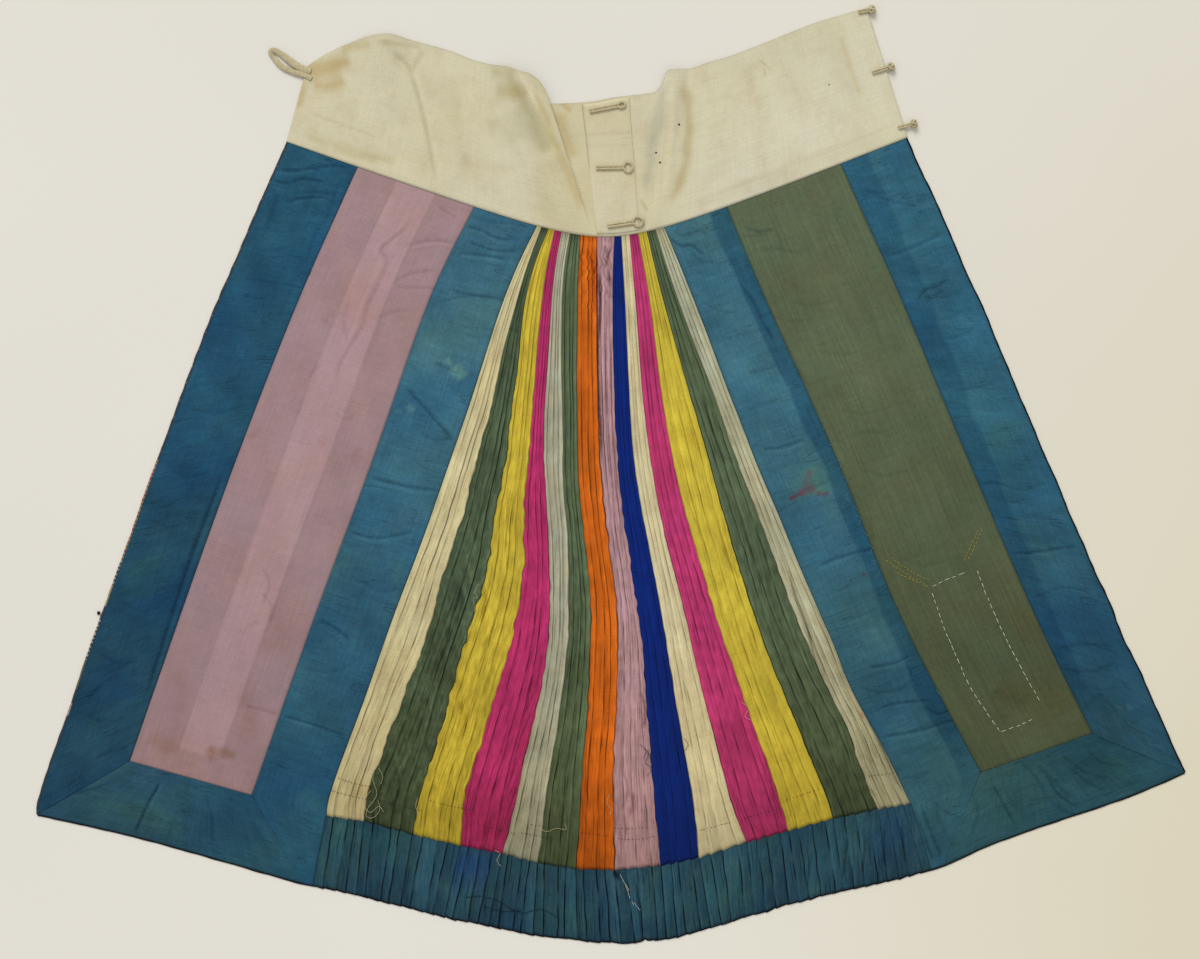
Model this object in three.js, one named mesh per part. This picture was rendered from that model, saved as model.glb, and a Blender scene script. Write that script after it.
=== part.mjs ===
import * as THREE from "three";

// One half of a pleated silk wrap skirt, laid out flat with its inner face up.
// Millimetres. The waistband is at +Y, the hem at -Y, and +Z points up from the surface that it lies on.

// Cloth
const silkThickness = 2;
const bandThickness = 2.4;
const placketThickness = 1;
const trimThickness = 1.4;
const trimWidth = 3;
const seamGap = 0.3;

// Pleats
const pleatsPerStrip = 4;
const foldShare = 0.3;
const pleatRise = 1.3;
const pleatRiseAtWaist = 0.45;
const stackAtWaist = 2.6;
const centreGroove = 0.5;

// How finely the panels are divided
const panelColumns = 5;
const panelRows = 13;
const mitreRows = 2;
const hemBandRows = 3;
const hemPipingLengths = 90;
const longestBandStep = 12;
const bandRows = 6;

// The waist seam is a blunt V: straight arms that meet in a round bend.
const waist = { lowX: -6.9, lowY: 273.7, bend: 69, leftSlope: 0.36, rightSlope: 0.4 };

// Each long seam runs from the waist down to its lower end. "at" gives its x at the seamHeights.
const seamHeights = [201, 17, -167, -351];
const panelSeams = {
  leftEdge: { waist: -371, at: [-450, -520, -586, -650], end: [-659, -390] },
  pinkLeft: { waist: -291, at: [-359, -431, -497], end: [-553, -329] },
  pinkRight: { waist: -157, at: [-209, -274, -342], end: [-413, -368] },
  greenLeft: { waist: 133, at: [178, 260, 335], end: [425, -342] },
  greenRight: { waist: 264, at: [334, 411, 490], end: [553, -297] },
  rightEdge: { waist: 339, at: [422, 500, 580], end: [659, -342] },
};
const stripSeams = [
  { waist: -85, at: [-123, -184, -251, -317], end: [-327, -392] },
  { waist: -80, at: [-108, -154, -207, -274], end: [-284, -398] },
  { waist: -72, at: [-98, -121, -158, -214], end: [-228, -413] },
  { waist: -65, at: [-79, -95, -109, -163], end: [-173, -426] },
  { waist: -57, at: [-68, -77, -70, -104], end: [-125, -435] },
  { waist: -47, at: [-56, -55, -48, -71], end: [-84, -446] },
  { waist: -35, at: [-38, -38, -23, -33], end: [-40, -453] },
  { waist: -16, at: [-16, -13, 7, 3], end: [4, -454] },
  { waist: 4, at: [2, 7, 32, 48], end: [57, -449] },
  { waist: 12, at: [16, 27, 59, 90], end: [101, -440] },
  { waist: 21, at: [28, 45, 86, 131], end: [156, -422] },
  { waist: 31, at: [44, 71, 122, 186], end: [204, -409] },
  { waist: 41, at: [60, 112, 165, 240], end: [255, -395] },
  { waist: 51, at: [77, 145, 214, 293], end: [307, -384] },
  { waist: 61, at: [95, 166, 244, 331], end: [345, -378] },
];

// The hem is one spline from the left corner to the right one; the seams that end on it are at these x.
const hemPoints = [
  [-659, -390], [-552, -414], [-450, -442], [-355, -469], [-294, -481], [-203, -504],
  [-90, -527], [-6, -536], [40, -535], [90, -526], [217, -489], [325, -464],
  [381, -449], [432, -426], [495, -403], [590, -371], [659, -342],
];
const hemX = {
  leftCorner: -659, leftMitre: -355, pleatsLeft: -343, pleatsRight: 368, rightMitre: 381, rightCorner: 659,
};

// Sections across the waistband, each from a point on the waist seam (by its x) to the upper edge.
// "lift" is how high the cloth stands above flat at the upper edge; it fades to nothing at the seam.
const bandSections = [
  { seamX: -373, top: [-349, 470], lift: 0 },
  { seamX: -358, top: [-327, 484], lift: 0 },
  { seamX: -335, top: [-298, 497], lift: 1 },
  { seamX: -312, top: [-274, 505], lift: 2 },
  { seamX: -297, top: [-258, 507], lift: 2 },
  { seamX: -270, top: [-228, 499], lift: 1 },
  { seamX: -225, top: [-184, 487], lift: 0 },
  { seamX: -180, top: [-156, 476], lift: 0 },
  { seamX: -120, top: [-134, 471], lift: 1.5 },
  { seamX: -70, top: [-119, 469], lift: 5 },
  { seamX: -30, top: [-107, 464], lift: 9 },
  { seamX: -26, top: [-95, 461], lift: 8.5 },
  { seamX: -23, top: [-84, 454], lift: 7 },
  { seamX: -21, top: [-77, 442], lift: 5 },
  { seamX: -19, top: [-72, 427], lift: 0 },
  { seamX: -17.5, top: [-52, 427], lift: 0 },
  { seamX: -16, top: [-34, 428], lift: 0 },
  { seamX: 0, top: [-16, 430], lift: 0 },
  { seamX: 20, top: [4, 434], lift: 0 },
  { seamX: 33, top: [21, 436], lift: 0 },
  { seamX: 40, top: [50, 440], lift: 0.5 },
  { seamX: 46, top: [58, 448], lift: 2 },
  { seamX: 52, top: [66, 465], lift: 7 },
  { seamX: 62, top: [77, 466], lift: 5.5 },
  { seamX: 72, top: [90, 467], lift: 1.5 },
  { seamX: 105, top: [110, 473], lift: 2.5 },
  { seamX: 140, top: [130, 479], lift: 1 },
  { seamX: 200, top: [180, 498], lift: 0 },
  { seamX: 270, top: [236, 520], lift: 0 },
  { seamX: 341, top: [294, 537], lift: 0 },
];
const placketSections = { first: -16, last: 33, count: 5, lowest: 0.02, highest: 0.985, rows: 6 };

// Loops and knots of cotton cord. Points are on the waistband, seen from above.
const cordRadius = 1.35;
const cordSides = 8;
const ringPoints = 8;
const loopSteps = 26;
const stemSpread = 3.1;
const buttonLoops = [
  { name: "button_loop_1", stem: [-25, 418], ring: [12, 425], along: 4.2, across: 3.3 },
  { name: "button_loop_2", stem: [-17, 353], ring: [19.5, 353.5], along: 5.2, across: 5.5 },
  { name: "button_loop_3", stem: [-4, 286], ring: [31, 291], along: 5.8, across: 5.3 },
];
const knotRadius = 4.5;
const knotSides = 14;
const knotBands = 8;
const knotButtons = [
  { name: "knot_button_1", stem: [284, 532], knot: [300, 534.5] },
  { name: "knot_button_2", stem: [300, 462], knot: [322, 469] },
  { name: "knot_button_3", stem: [330, 399], knot: [348, 403.5] },
];

// The hanging loop: outline and slit of a folded tape, seen from above
const hangingLoop = {
  thickness: 5,
  outlineSteps: 24,
  slitSteps: 20,
  outline: [
    [-349.9, 468.3], [-358, 473.5], [-372, 484], [-388, 490.5],
    [-394, 485], [-384, 470.5], [-368, 460], [-353.7, 454.6],
  ],
  slit: [[-361, 463.5], [-368, 472.5], [-381, 482.5], [-386.5, 484.5], [-385, 479.2], [-372, 467.3]],
};

const clothRoughness = 0.85;
const colours = {
  cotton: 0xcdc6a5,
  placket: 0xc9bf98,
  tape: 0xb9ab84,
  cream: 0xd6cba0,
  darkGreen: 0x4a5f4a,
  yellow: 0xbeaf32,
  magenta: 0xaf2d6e,
  greyGreen: 0xaaaf9b,
  green: 0x4f6a4c,
  orange: 0xcd6419,
  lilac: 0xa58796,
  royalBlue: 0x0f2882,
  grey: 0xb9b699,
  blue: 0x2d5f82,
  pink: 0xaa8291,
  oliveGreen: 0x556446,
  black: 0x1b1a20,
  trim: 0x6b5d3f,
};
const stripColours = [
  "cream", "darkGreen", "yellow", "magenta", "greyGreen", "green", "orange",
  "lilac", "royalBlue", "cream", "magenta", "yellow", "darkGreen", "grey",
];

const skirt = new THREE.Group();

function addMesh(name, geometry, colour) {
  const material = new THREE.MeshStandardMaterial({
    color: colours[colour],
    roughness: clothRoughness,
    metalness: 0,
  });
  const mesh = new THREE.Mesh(geometry, material);
  mesh.name = name;
  skirt.add(mesh);
  return mesh;
}

function mix(a, b, share) {
  return a.map((value, axis) => value + (b[axis] - value) * share);
}

function evenly(count) {
  return Array.from({ length: count + 1 }, (_, index) => index / count);
}

// Curves: each is a function from 0..1 to a point [x, y]

function waistPoint(x) {
  const away = x - waist.lowX;
  const slope = away < 0 ? waist.leftSlope : waist.rightSlope;
  return [x, waist.lowY + slope * (Math.hypot(away, waist.bend) - waist.bend)];
}

function waistBetween(fromX, toX) {
  return (share) => waistPoint(fromX + (toX - fromX) * share);
}

function line(from, to) {
  return (share) => mix(from, to, share);
}

function spline(points) {
  const curve = new THREE.SplineCurve(points.map(([x, y]) => new THREE.Vector2(x, y)));
  return (share) => curve.getPointAt(share).toArray();
}

function longSeam(seam) {
  return spline([waistPoint(seam.waist), ...seam.at.map((x, row) => [x, seamHeights[row]]), seam.end]);
}

// The hem curve always moves to the right, so halving finds its point at any x.
const hemCurve = spline(hemPoints);
const halvings = 24;

function hemPoint(x) {
  let [low, high] = [0, 1];
  for (let halving = 0; halving < halvings; halving += 1) {
    const middle = (low + high) / 2;
    if (hemCurve(middle)[0] < x) low = middle;
    else high = middle;
  }
  return hemCurve((low + high) / 2);
}

function hemBetween(fromX, toX) {
  return (share) => hemPoint(fromX + (toX - fromX) * share);
}

// One curve after another; the first takes the given share of the way
function joined(first, second, firstShare) {
  return (share) => (share <= firstShare
    ? first(share / firstShare)
    : second((share - firstShare) / (1 - firstShare)));
}

// A cloth piece between four edges: top and bottom run left to right, left and right run downwards
function fourSided({ top, bottom, left, right }) {
  return (across, down) => [0, 1].map((axis) => (
    (1 - down) * top(across)[axis] + down * bottom(across)[axis]
    + (1 - across) * left(down)[axis] + across * right(down)[axis]
    - (1 - across) * ((1 - down) * top(0)[axis] + down * bottom(0)[axis])
    - across * ((1 - down) * top(1)[axis] + down * bottom(1)[axis])
  ));
}

// Moves each point of a counterclockwise outline inwards, so that sewn pieces stay a seam gap apart
function inset(outline, distance) {
  return outline.map((point, index) => {
    const before = outline[(index + outline.length - 1) % outline.length];
    const after = outline[(index + 1) % outline.length];
    const normals = [[before, point], [point, after]].map(([from, to]) => {
      const length = Math.hypot(to[0] - from[0], to[1] - from[1]);
      return [(from[1] - to[1]) / length, (to[0] - from[0]) / length];
    });
    const sum = [normals[0][0] + normals[1][0], normals[0][1] + normals[1][1]];
    const reach = (2 * distance) / (sum[0] ** 2 + sum[1] ** 2);
    return [point[0] + sum[0] * reach, point[1] + sum[1] * reach];
  });
}

// Corners of the grid's rim, counterclockwise from above: down the left, along the bottom, up, and back
function rimOf(columnCount, rowCount) {
  const rim = [];
  for (let row = 0; row < rowCount; row += 1) rim.push([row, 0]);
  for (let column = 0; column < columnCount; column += 1) rim.push([rowCount, column]);
  for (let row = rowCount; row > 0; row -= 1) rim.push([row, columnCount]);
  for (let column = columnCount; column > 0; column -= 1) rim.push([0, column]);
  return rim;
}

// A closed cloth solid: a grid of top points over a flat underside, or over a raised one
function clothSolid({ place, columns, rows, topHeight, underHeight = null, gap = seamGap / 2 }) {
  const lastColumn = columns.length - 1;
  const lastRow = rows.length - 1;
  const plan = rows.map((down) => columns.map((across) => place(across, down)));
  const rim = rimOf(lastColumn, lastRow);
  inset(rim.map(([row, column]) => plan[row][column]), gap).forEach((point, index) => {
    plan[rim[index][0]][rim[index][1]] = point;
  });
  const positions = [];
  // Adds a point and gives back its number
  const addPoint = ([x, y], z) => positions.push(x, y, z) / 3 - 1;
  const upper = rows.map((down, row) => columns.map((across, column) => (
    addPoint(plan[row][column], topHeight(across, down))
  )));
  const lower = rows.map((down, row) => columns.map((across, column) => {
    const onRim = row === 0 || row === lastRow || column === 0 || column === lastColumn;
    if (!underHeight && !onRim) return null;
    return addPoint(plan[row][column], underHeight ? underHeight(across, down) : 0);
  }));
  const faces = [];
  const addQuad = (a, b, c, d) => faces.push(a, b, c, a, c, d);
  for (let row = 0; row < lastRow; row += 1) {
    for (let column = 0; column < lastColumn; column += 1) {
      addQuad(upper[row][column], upper[row + 1][column], upper[row + 1][column + 1], upper[row][column + 1]);
      if (underHeight) {
        addQuad(lower[row][column], lower[row][column + 1], lower[row + 1][column + 1], lower[row + 1][column]);
      }
    }
  }
  if (!underHeight) addLadder(lower, faces, lastColumn, lastRow);
  rim.forEach(([row, column], index) => {
    const [nextRow, nextColumn] = rim[(index + 1) % rim.length];
    addQuad(lower[row][column], lower[nextRow][nextColumn], upper[nextRow][nextColumn], upper[row][column]);
  });
  const geometry = new THREE.BufferGeometry();
  geometry.setAttribute("position", new THREE.Float32BufferAttribute(positions, 3));
  geometry.setIndex(faces);
  geometry.computeVertexNormals();
  return geometry;
}

// A flat underside with points on its rim only: rungs from side to side, and a fan at each end
function addLadder(lower, faces, lastColumn, lastRow) {
  for (let row = 1; row < lastRow - 1; row += 1) {
    const [left, right] = [lower[row][0], lower[row][lastColumn]];
    const [leftBelow, rightBelow] = [lower[row + 1][0], lower[row + 1][lastColumn]];
    faces.push(left, right, rightBelow, left, rightBelow, leftBelow);
  }
  const firstHub = lower[1][0];
  const lastHub = lower[lastRow - 1][0];
  for (let column = 0; column < lastColumn; column += 1) {
    faces.push(firstHub, lower[0][column], lower[0][column + 1]);
    faces.push(lastHub, lower[lastRow][column + 1], lower[lastRow][column]);
  }
  faces.push(firstHub, lower[0][lastColumn], lower[1][lastColumn]);
  faces.push(lastHub, lower[lastRow - 1][lastColumn], lower[lastRow][lastColumn]);
}

// Framed panels

const flatSilk = () => silkThickness;
const seam = Object.fromEntries(Object.entries(panelSeams).map(([name, row]) => [name, longSeam(row)]));
const pleatSeam = stripSeams.map(longSeam);
const [firstPleatSeam, lastPleatSeam] = [pleatSeam[0], pleatSeam.at(-1)];
const longShare = panelRows / (panelRows + mitreRows);

function addPanel(name, colour, edges, rowCount) {
  addMesh(name, clothSolid({
    place: fourSided(edges),
    columns: evenly(panelColumns),
    rows: evenly(rowCount),
    topHeight: flatSilk,
  }), colour);
}

function addHemBand(name, panelLeft, panelRight, fromX, toX) {
  addMesh(name, clothSolid({
    place: fourSided({
      top: line(panelLeft, panelRight),
      bottom: hemBetween(fromX, toX),
      left: line(panelLeft, hemPoint(fromX)),
      right: line(panelRight, hemPoint(toX)),
    }),
    columns: evenly(panelColumns),
    rows: evenly(hemBandRows),
    topHeight: flatSilk,
  }), "blue");
}

addPanel("outer_band_left", "blue", {
  top: waistBetween(panelSeams.leftEdge.waist, panelSeams.pinkLeft.waist),
  bottom: line(panelSeams.leftEdge.end, panelSeams.pinkLeft.end),
  left: seam.leftEdge,
  right: seam.pinkLeft,
}, panelRows);
addPanel("pink_panel", "pink", {
  top: waistBetween(panelSeams.pinkLeft.waist, panelSeams.pinkRight.waist),
  bottom: line(panelSeams.pinkLeft.end, panelSeams.pinkRight.end),
  left: seam.pinkLeft,
  right: seam.pinkRight,
}, panelRows);
addPanel("inner_band_left", "blue", {
  top: waistBetween(panelSeams.pinkRight.waist, stripSeams[0].waist),
  bottom: hemBetween(hemX.leftMitre, hemX.pleatsLeft),
  left: joined(seam.pinkRight, line(panelSeams.pinkRight.end, hemPoint(hemX.leftMitre)), longShare),
  right: joined(firstPleatSeam, line(stripSeams[0].end, hemPoint(hemX.pleatsLeft)), longShare),
}, panelRows + mitreRows);
addHemBand(
  "hem_band_left", panelSeams.pinkLeft.end, panelSeams.pinkRight.end, hemX.leftCorner, hemX.leftMitre,
);
addPanel("inner_band_right", "blue", {
  top: waistBetween(stripSeams.at(-1).waist, panelSeams.greenLeft.waist),
  bottom: hemBetween(hemX.pleatsRight, hemX.rightMitre),
  left: joined(lastPleatSeam, line(stripSeams.at(-1).end, hemPoint(hemX.pleatsRight)), longShare),
  right: joined(seam.greenLeft, line(panelSeams.greenLeft.end, hemPoint(hemX.rightMitre)), longShare),
}, panelRows + mitreRows);
addPanel("green_panel", "oliveGreen", {
  top: waistBetween(panelSeams.greenLeft.waist, panelSeams.greenRight.waist),
  bottom: line(panelSeams.greenLeft.end, panelSeams.greenRight.end),
  left: seam.greenLeft,
  right: seam.greenRight,
}, panelRows);
addPanel("outer_band_right", "blue", {
  top: waistBetween(panelSeams.greenRight.waist, panelSeams.rightEdge.waist),
  bottom: line(panelSeams.greenRight.end, panelSeams.rightEdge.end),
  left: seam.greenRight,
  right: seam.rightEdge,
}, panelRows);
addHemBand(
  "hem_band_right", panelSeams.greenLeft.end, panelSeams.greenRight.end, hemX.rightMitre, hemX.rightCorner,
);

// Pleated strips: knife pleats whose folds face the middle of the skirt

function pleatColumns(side) {
  const pleats = evenly(pleatsPerStrip).slice(0, -1);
  const fold = foldShare / pleatsPerStrip;
  const columns = pleats.flatMap((at) => [{ at, rise: 0 }, { at: at + fold, rise: 1 }]);
  columns.push({ at: 1, rise: 0 });
  return side > 0 ? columns : columns.map(({ at, rise }) => ({ at: 1 - at, rise })).reverse();
}

function pleatTop(rise, down) {
  const stack = silkThickness + stackAtWaist * (1 - down) ** 3;
  return stack + rise * (pleatRiseAtWaist + (pleatRise - pleatRiseAtWaist) * down);
}

const middleStrip = stripColours.length / 2;
const stripSides = stripColours.map((_, index) => (index < middleStrip ? -1 : 1));

stripColours.forEach((colour, index) => {
  const columns = pleatColumns(stripSides[index]);
  const riseAt = new Map(columns.map(({ at, rise }) => [at, rise]));
  const deepens = index === middleStrip;
  addMesh(`strip_${String(index + 1).padStart(2, "0")}`, clothSolid({
    place: fourSided({
      top: waistBetween(stripSeams[index].waist, stripSeams[index + 1].waist),
      bottom: line(stripSeams[index].end, stripSeams[index + 1].end),
      left: pleatSeam[index],
      right: pleatSeam[index + 1],
    }),
    columns: columns.map(({ at }) => at),
    rows: evenly(panelRows),
    topHeight: (across, down) => (
      pleatTop(riseAt.get(across), down) - (deepens && across === 0 ? centreGroove : 0)
    ),
  }), colour);
});

// The blue band below the strips is pleated in one with them, so it repeats their columns.
const hemColumns = stripSides.flatMap((side, index) => (
  pleatColumns(side).slice(0, -1).map(({ at, rise }) => ({ strip: index, at, rise }))
));
hemColumns.push({ strip: stripColours.length - 1, at: 1, rise: 0 });
const pleatedHemEdge = hemBetween(hemX.pleatsLeft, hemX.pleatsRight);

function stripEndPoint({ strip, at }) {
  return mix(stripSeams[strip].end, stripSeams[strip + 1].end, at);
}

addMesh("pleated_hem", clothSolid({
  place: (across, down) => {
    const column = hemColumns[Math.round(down * (hemColumns.length - 1))];
    return mix(pleatedHemEdge((column.strip + column.at) / stripColours.length), stripEndPoint(column), across);
  },
  columns: evenly(hemBandRows),
  rows: evenly(hemColumns.length - 1),
  topHeight: (across, down) => pleatTop(hemColumns[Math.round(down * (hemColumns.length - 1))].rise, 1),
}), "blue");

// Waistband with its tuck and ridge

function bandAt(seamX) {
  const after = Math.max(1, bandSections.findIndex((section) => section.seamX >= seamX));
  const [low, high] = [bandSections[after - 1], bandSections[after]];
  const share = (seamX - low.seamX) / (high.seamX - low.seamX);
  return { top: mix(low.top, high.top, share), lift: low.lift + (high.lift - low.lift) * share };
}

function onBand(seamX, up) {
  const section = bandAt(seamX);
  return { plan: mix(waistPoint(seamX), section.top, up), rise: section.lift * up };
}

const bandX = bandSections.flatMap(({ seamX }, index) => {
  const next = bandSections[index + 1];
  return next && next.seamX - seamX > longestBandStep ? [seamX, (seamX + next.seamX) / 2] : [seamX];
});
addMesh("waistband", clothSolid({
  place: (seamX, up) => onBand(seamX, up).plan,
  columns: bandX,
  rows: evenly(bandRows).reverse(),
  topHeight: (seamX, up) => bandThickness + onBand(seamX, up).rise,
  underHeight: (seamX, up) => onBand(seamX, up).rise,
}), "cotton");

// The placket lies on the band, so its points are the band's own, moved up.
const placketX = evenly(placketSections.count).map((share) => (
  placketSections.first + (placketSections.last - placketSections.first) * share
));
const placketUp = evenly(placketSections.rows).map((share) => (
  placketSections.highest + (placketSections.lowest - placketSections.highest) * share
));
addMesh("loop_placket", clothSolid({
  place: (seamX, up) => onBand(seamX, up).plan,
  columns: placketX,
  rows: placketUp,
  topHeight: (seamX, up) => bandThickness + onBand(seamX, up).rise + seamGap + placketThickness,
  underHeight: (seamX, up) => bandThickness + onBand(seamX, up).rise + seamGap,
}), "placket");

// Button loops: one cord that runs up the stem, round the ring and back down beside itself

const placketTop = bandThickness + seamGap + placketThickness;

function cordTube(points) {
  const section = new THREE.Shape().absarc(0, 0, cordRadius, 0, 2 * Math.PI);
  return new THREE.ExtrudeGeometry(section, {
    steps: loopSteps,
    curveSegments: cordSides / 2,
    bevelEnabled: false,
    extrudePath: new THREE.CatmullRomCurve3(points),
  });
}

for (const { name, stem, ring, along, across } of buttonLoops) {
  const angle = Math.atan2(ring[1] - stem[1], ring[0] - stem[0]);
  const length = Math.hypot(ring[1] - stem[1], ring[0] - stem[0]);
  const stemEnd = length - along - cordRadius;
  const half = stemSpread / 2;
  const opening = Math.asin(half / across);
  const round = evenly(ringPoints).map((share) => {
    const turn = Math.PI - opening - share * 2 * (Math.PI - opening);
    return new THREE.Vector3(length + along * Math.cos(turn), across * Math.sin(turn), 0);
  });
  const points = [
    new THREE.Vector3(0, half, 0),
    new THREE.Vector3(stemEnd, half, 0),
    ...round,
    new THREE.Vector3(stemEnd, -half, 0),
    new THREE.Vector3(0, -half, 0),
  ];
  const mesh = addMesh(name, cordTube(points), "tape");
  mesh.position.set(stem[0], stem[1], placketTop + seamGap + cordRadius);
  mesh.rotation.z = angle;
}

// Knot buttons: a round knot beside the band's end, on a stem that lies on the band

const stemRadius = knotRadius - bandThickness - seamGap;
for (const { name, stem, knot } of knotButtons) {
  const length = Math.hypot(knot[0] - stem[0], knot[1] - stem[1]);
  const meeting = Math.asin(stemRadius / knotRadius);
  const profile = [new THREE.Vector2(0, 0), new THREE.Vector2(stemRadius, 0)];
  for (const share of evenly(knotBands)) {
    const turn = meeting + share * (Math.PI - meeting);
    const radius = share === 1 ? 0 : knotRadius * Math.sin(turn);
    profile.push(new THREE.Vector2(radius, length - knotRadius * Math.cos(turn)));
  }
  const mesh = addMesh(name, new THREE.LatheGeometry(profile, knotSides), "tape");
  mesh.position.set(stem[0], stem[1], knotRadius);
  mesh.rotation.z = Math.atan2(knot[1] - stem[1], knot[0] - stem[0]) - Math.PI / 2;
}

// Hanging loop at the band's upper left corner

function splinePoints(points, steps) {
  return new THREE.SplineCurve(points.map(([x, y]) => new THREE.Vector2(x, y))).getPoints(steps);
}

const { outline, outlineSteps, slit, slitSteps } = hangingLoop;
const loopShape = new THREE.Shape(splinePoints(outline, outlineSteps));
loopShape.holes.push(new THREE.Path(splinePoints([...slit, slit[0]], slitSteps)));
addMesh("hanging_loop", new THREE.ExtrudeGeometry(loopShape, {
  depth: hangingLoop.thickness,
  steps: 1,
  bevelEnabled: false,
}), "tape");

// Edgings along the left side, the right side and the hem. Each curve keeps the skirt on its left.

function outwards(curve, distance) {
  const step = 1e-3;
  return (share) => {
    const [from, to] = [curve(Math.max(0, share - step)), curve(Math.min(1, share + step))];
    const length = Math.hypot(to[0] - from[0], to[1] - from[1]);
    const [x, y] = curve(share);
    return [x + (distance * (to[1] - from[1])) / length, y - (distance * (to[0] - from[0])) / length];
  };
}

function addEdging(name, colour, curve, divisions) {
  addMesh(name, clothSolid({
    place: (across, along) => outwards(curve, (1 - across) * trimWidth)(along),
    columns: [0, 1],
    rows: evenly(divisions),
    topHeight: () => trimThickness,
    gap: seamGap,
  }), colour);
}

addEdging("woven_trim", "trim", seam.leftEdge, panelRows);
addEdging("side_piping", "black", (share) => seam.rightEdge(1 - share), panelRows);
addEdging("hem_piping", "black", hemBetween(hemX.leftCorner, hemX.rightCorner), hemPipingLengths);

// The origin is the middle of the outline, on the surface that the skirt lies on.
const middle = new THREE.Box3().setFromObject(skirt).getCenter(new THREE.Vector3());
skirt.position.set(-middle.x, -middle.y, 0);

export default skirt;
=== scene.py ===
import math

import bpy
import numpy as np
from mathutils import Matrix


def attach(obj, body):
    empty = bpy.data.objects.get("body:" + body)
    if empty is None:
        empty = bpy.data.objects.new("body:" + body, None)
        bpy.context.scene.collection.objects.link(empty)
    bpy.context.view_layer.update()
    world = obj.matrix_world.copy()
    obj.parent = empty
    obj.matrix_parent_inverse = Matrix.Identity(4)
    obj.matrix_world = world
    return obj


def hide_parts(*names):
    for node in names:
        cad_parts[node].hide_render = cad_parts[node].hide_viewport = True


# One half of a pleated silk wrap skirt, laid out flat with its inner face up.
# Shapes are worked out in millimetres, in the part's own frame, and turned into metres in make_mesh.
# The waistband is at +Y, the hem at -Y, and the floor is at z = 0.

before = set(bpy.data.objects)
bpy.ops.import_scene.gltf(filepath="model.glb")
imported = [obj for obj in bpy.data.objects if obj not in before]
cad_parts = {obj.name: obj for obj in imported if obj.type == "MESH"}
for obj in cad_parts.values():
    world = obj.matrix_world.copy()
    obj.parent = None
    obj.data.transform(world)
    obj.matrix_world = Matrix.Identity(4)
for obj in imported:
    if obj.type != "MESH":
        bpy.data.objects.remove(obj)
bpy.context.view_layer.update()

# The part's solids were moved by this much so that the origin is the middle of the outline.
SHIFT = (0.115, -0.042)

# Photograph: millimetres a pixel, and the pixel at the drawing's origin
PIXEL = 1.15
PHOTO_ORIGIN = (611, 475)


def from_photo(*pixels):
    """Points of the photograph as points of the drawing, in millimetres."""
    return [((px - PHOTO_ORIGIN[0]) * PIXEL, (PHOTO_ORIGIN[1] - py) * PIXEL) for px, py in pixels]


# Camera, light and floor


def add_camera():
    centre = (-0.01254, -0.00522)
    data = bpy.data.cameras.new("camera")
    data.lens = 85
    data.sensor_width = 36
    data.clip_end = 50
    camera = bpy.data.objects.new("camera", data)
    bpy.context.scene.collection.objects.link(camera)
    camera.location = (centre[0], centre[1], 1.38 * data.lens / data.sensor_width)
    bpy.context.scene.camera = camera


def add_sun(name, strength, angle, rotation, colour):
    data = bpy.data.lights.new(name, "SUN")
    data.energy = strength
    data.angle = math.radians(angle)
    data.color = colour
    sun = bpy.data.objects.new(name, data)
    sun.rotation_euler = [math.radians(turn) for turn in rotation]
    bpy.context.scene.collection.objects.link(sun)


def add_world(strength, colour):
    world = bpy.data.worlds.new("soft room")
    world.use_nodes = True
    background = world.node_tree.nodes["Background"]
    background.inputs["Color"].default_value = (*colour, 1)
    background.inputs["Strength"].default_value = strength
    bpy.context.scene.world = world


# Curves: functions from an array of shares (0 to 1) to an array of points


class Spline:
    """A smooth curve through points, taken by its length."""

    def __init__(self, points, samples=600):
        points = np.array(points, float)
        padded = np.vstack([points[:1], points, points[-1:]])
        at = np.linspace(0, len(points) - 1, samples)
        start = np.minimum(at.astype(int), len(points) - 2)
        t = (at - start)[:, None]
        before, here, there, after = (padded[start + step] for step in range(4))
        leave = (there - before) / 2
        arrive = (after - here) / 2
        self.points = (
            (2 * here - 2 * there + leave + arrive) * t ** 3
            + (-3 * here + 3 * there - 2 * leave - arrive) * t ** 2
            + leave * t
            + here
        )
        steps = np.linalg.norm(np.diff(self.points, axis=0), axis=1)
        self.length = steps.sum()
        self.shares = np.concatenate([[0], np.cumsum(steps)]) / self.length

    def __call__(self, share):
        share = np.asarray(share, float)
        return np.stack([np.interp(share, self.shares, axis) for axis in self.points.T], axis=-1)


def line(start, end):
    start, end = np.array(start, float), np.array(end, float)
    return lambda share: start + (end - start) * np.asarray(share, float)[..., None]


def joined(first, second, first_share):
    """One curve after another; the first takes the given share of the way."""
    def curve(share):
        share = np.asarray(share, float)
        early = first(np.minimum(share / first_share, 1))
        late = second(np.maximum((share - first_share) / (1 - first_share), 0))
        return np.where((share <= first_share)[..., None], early, late)
    return curve


def moved(curve, offset):
    """The curve with offset(share), in millimetres, added to its x."""
    def shifted(share):
        points = curve(share)
        points[..., 0] += offset(np.asarray(share, float))
        return points
    return shifted


def four_sided(top, bottom, left, right, across, down):
    """A grid between four curves: top and bottom run left to right, left and right run downwards.

    across is one row of shares, or a row of its own for each place down.
    """
    across = np.atleast_2d(across)
    u = across[..., None]
    v = down[:, None, None]
    left_side, right_side = left(down)[:, None], right(down)[:, None]
    ends = [curve(np.array([0.0, 1.0])) for curve in (top, bottom)]
    corners = (
        (1 - u) * ((1 - v) * ends[0][0] + v * ends[1][0])
        + u * ((1 - v) * ends[0][1] + v * ends[1][1])
    )
    return (1 - v) * top(across) + v * bottom(across) + (1 - u) * left_side + u * right_side - corners


# The drawing: the same values as the part's source

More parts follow.
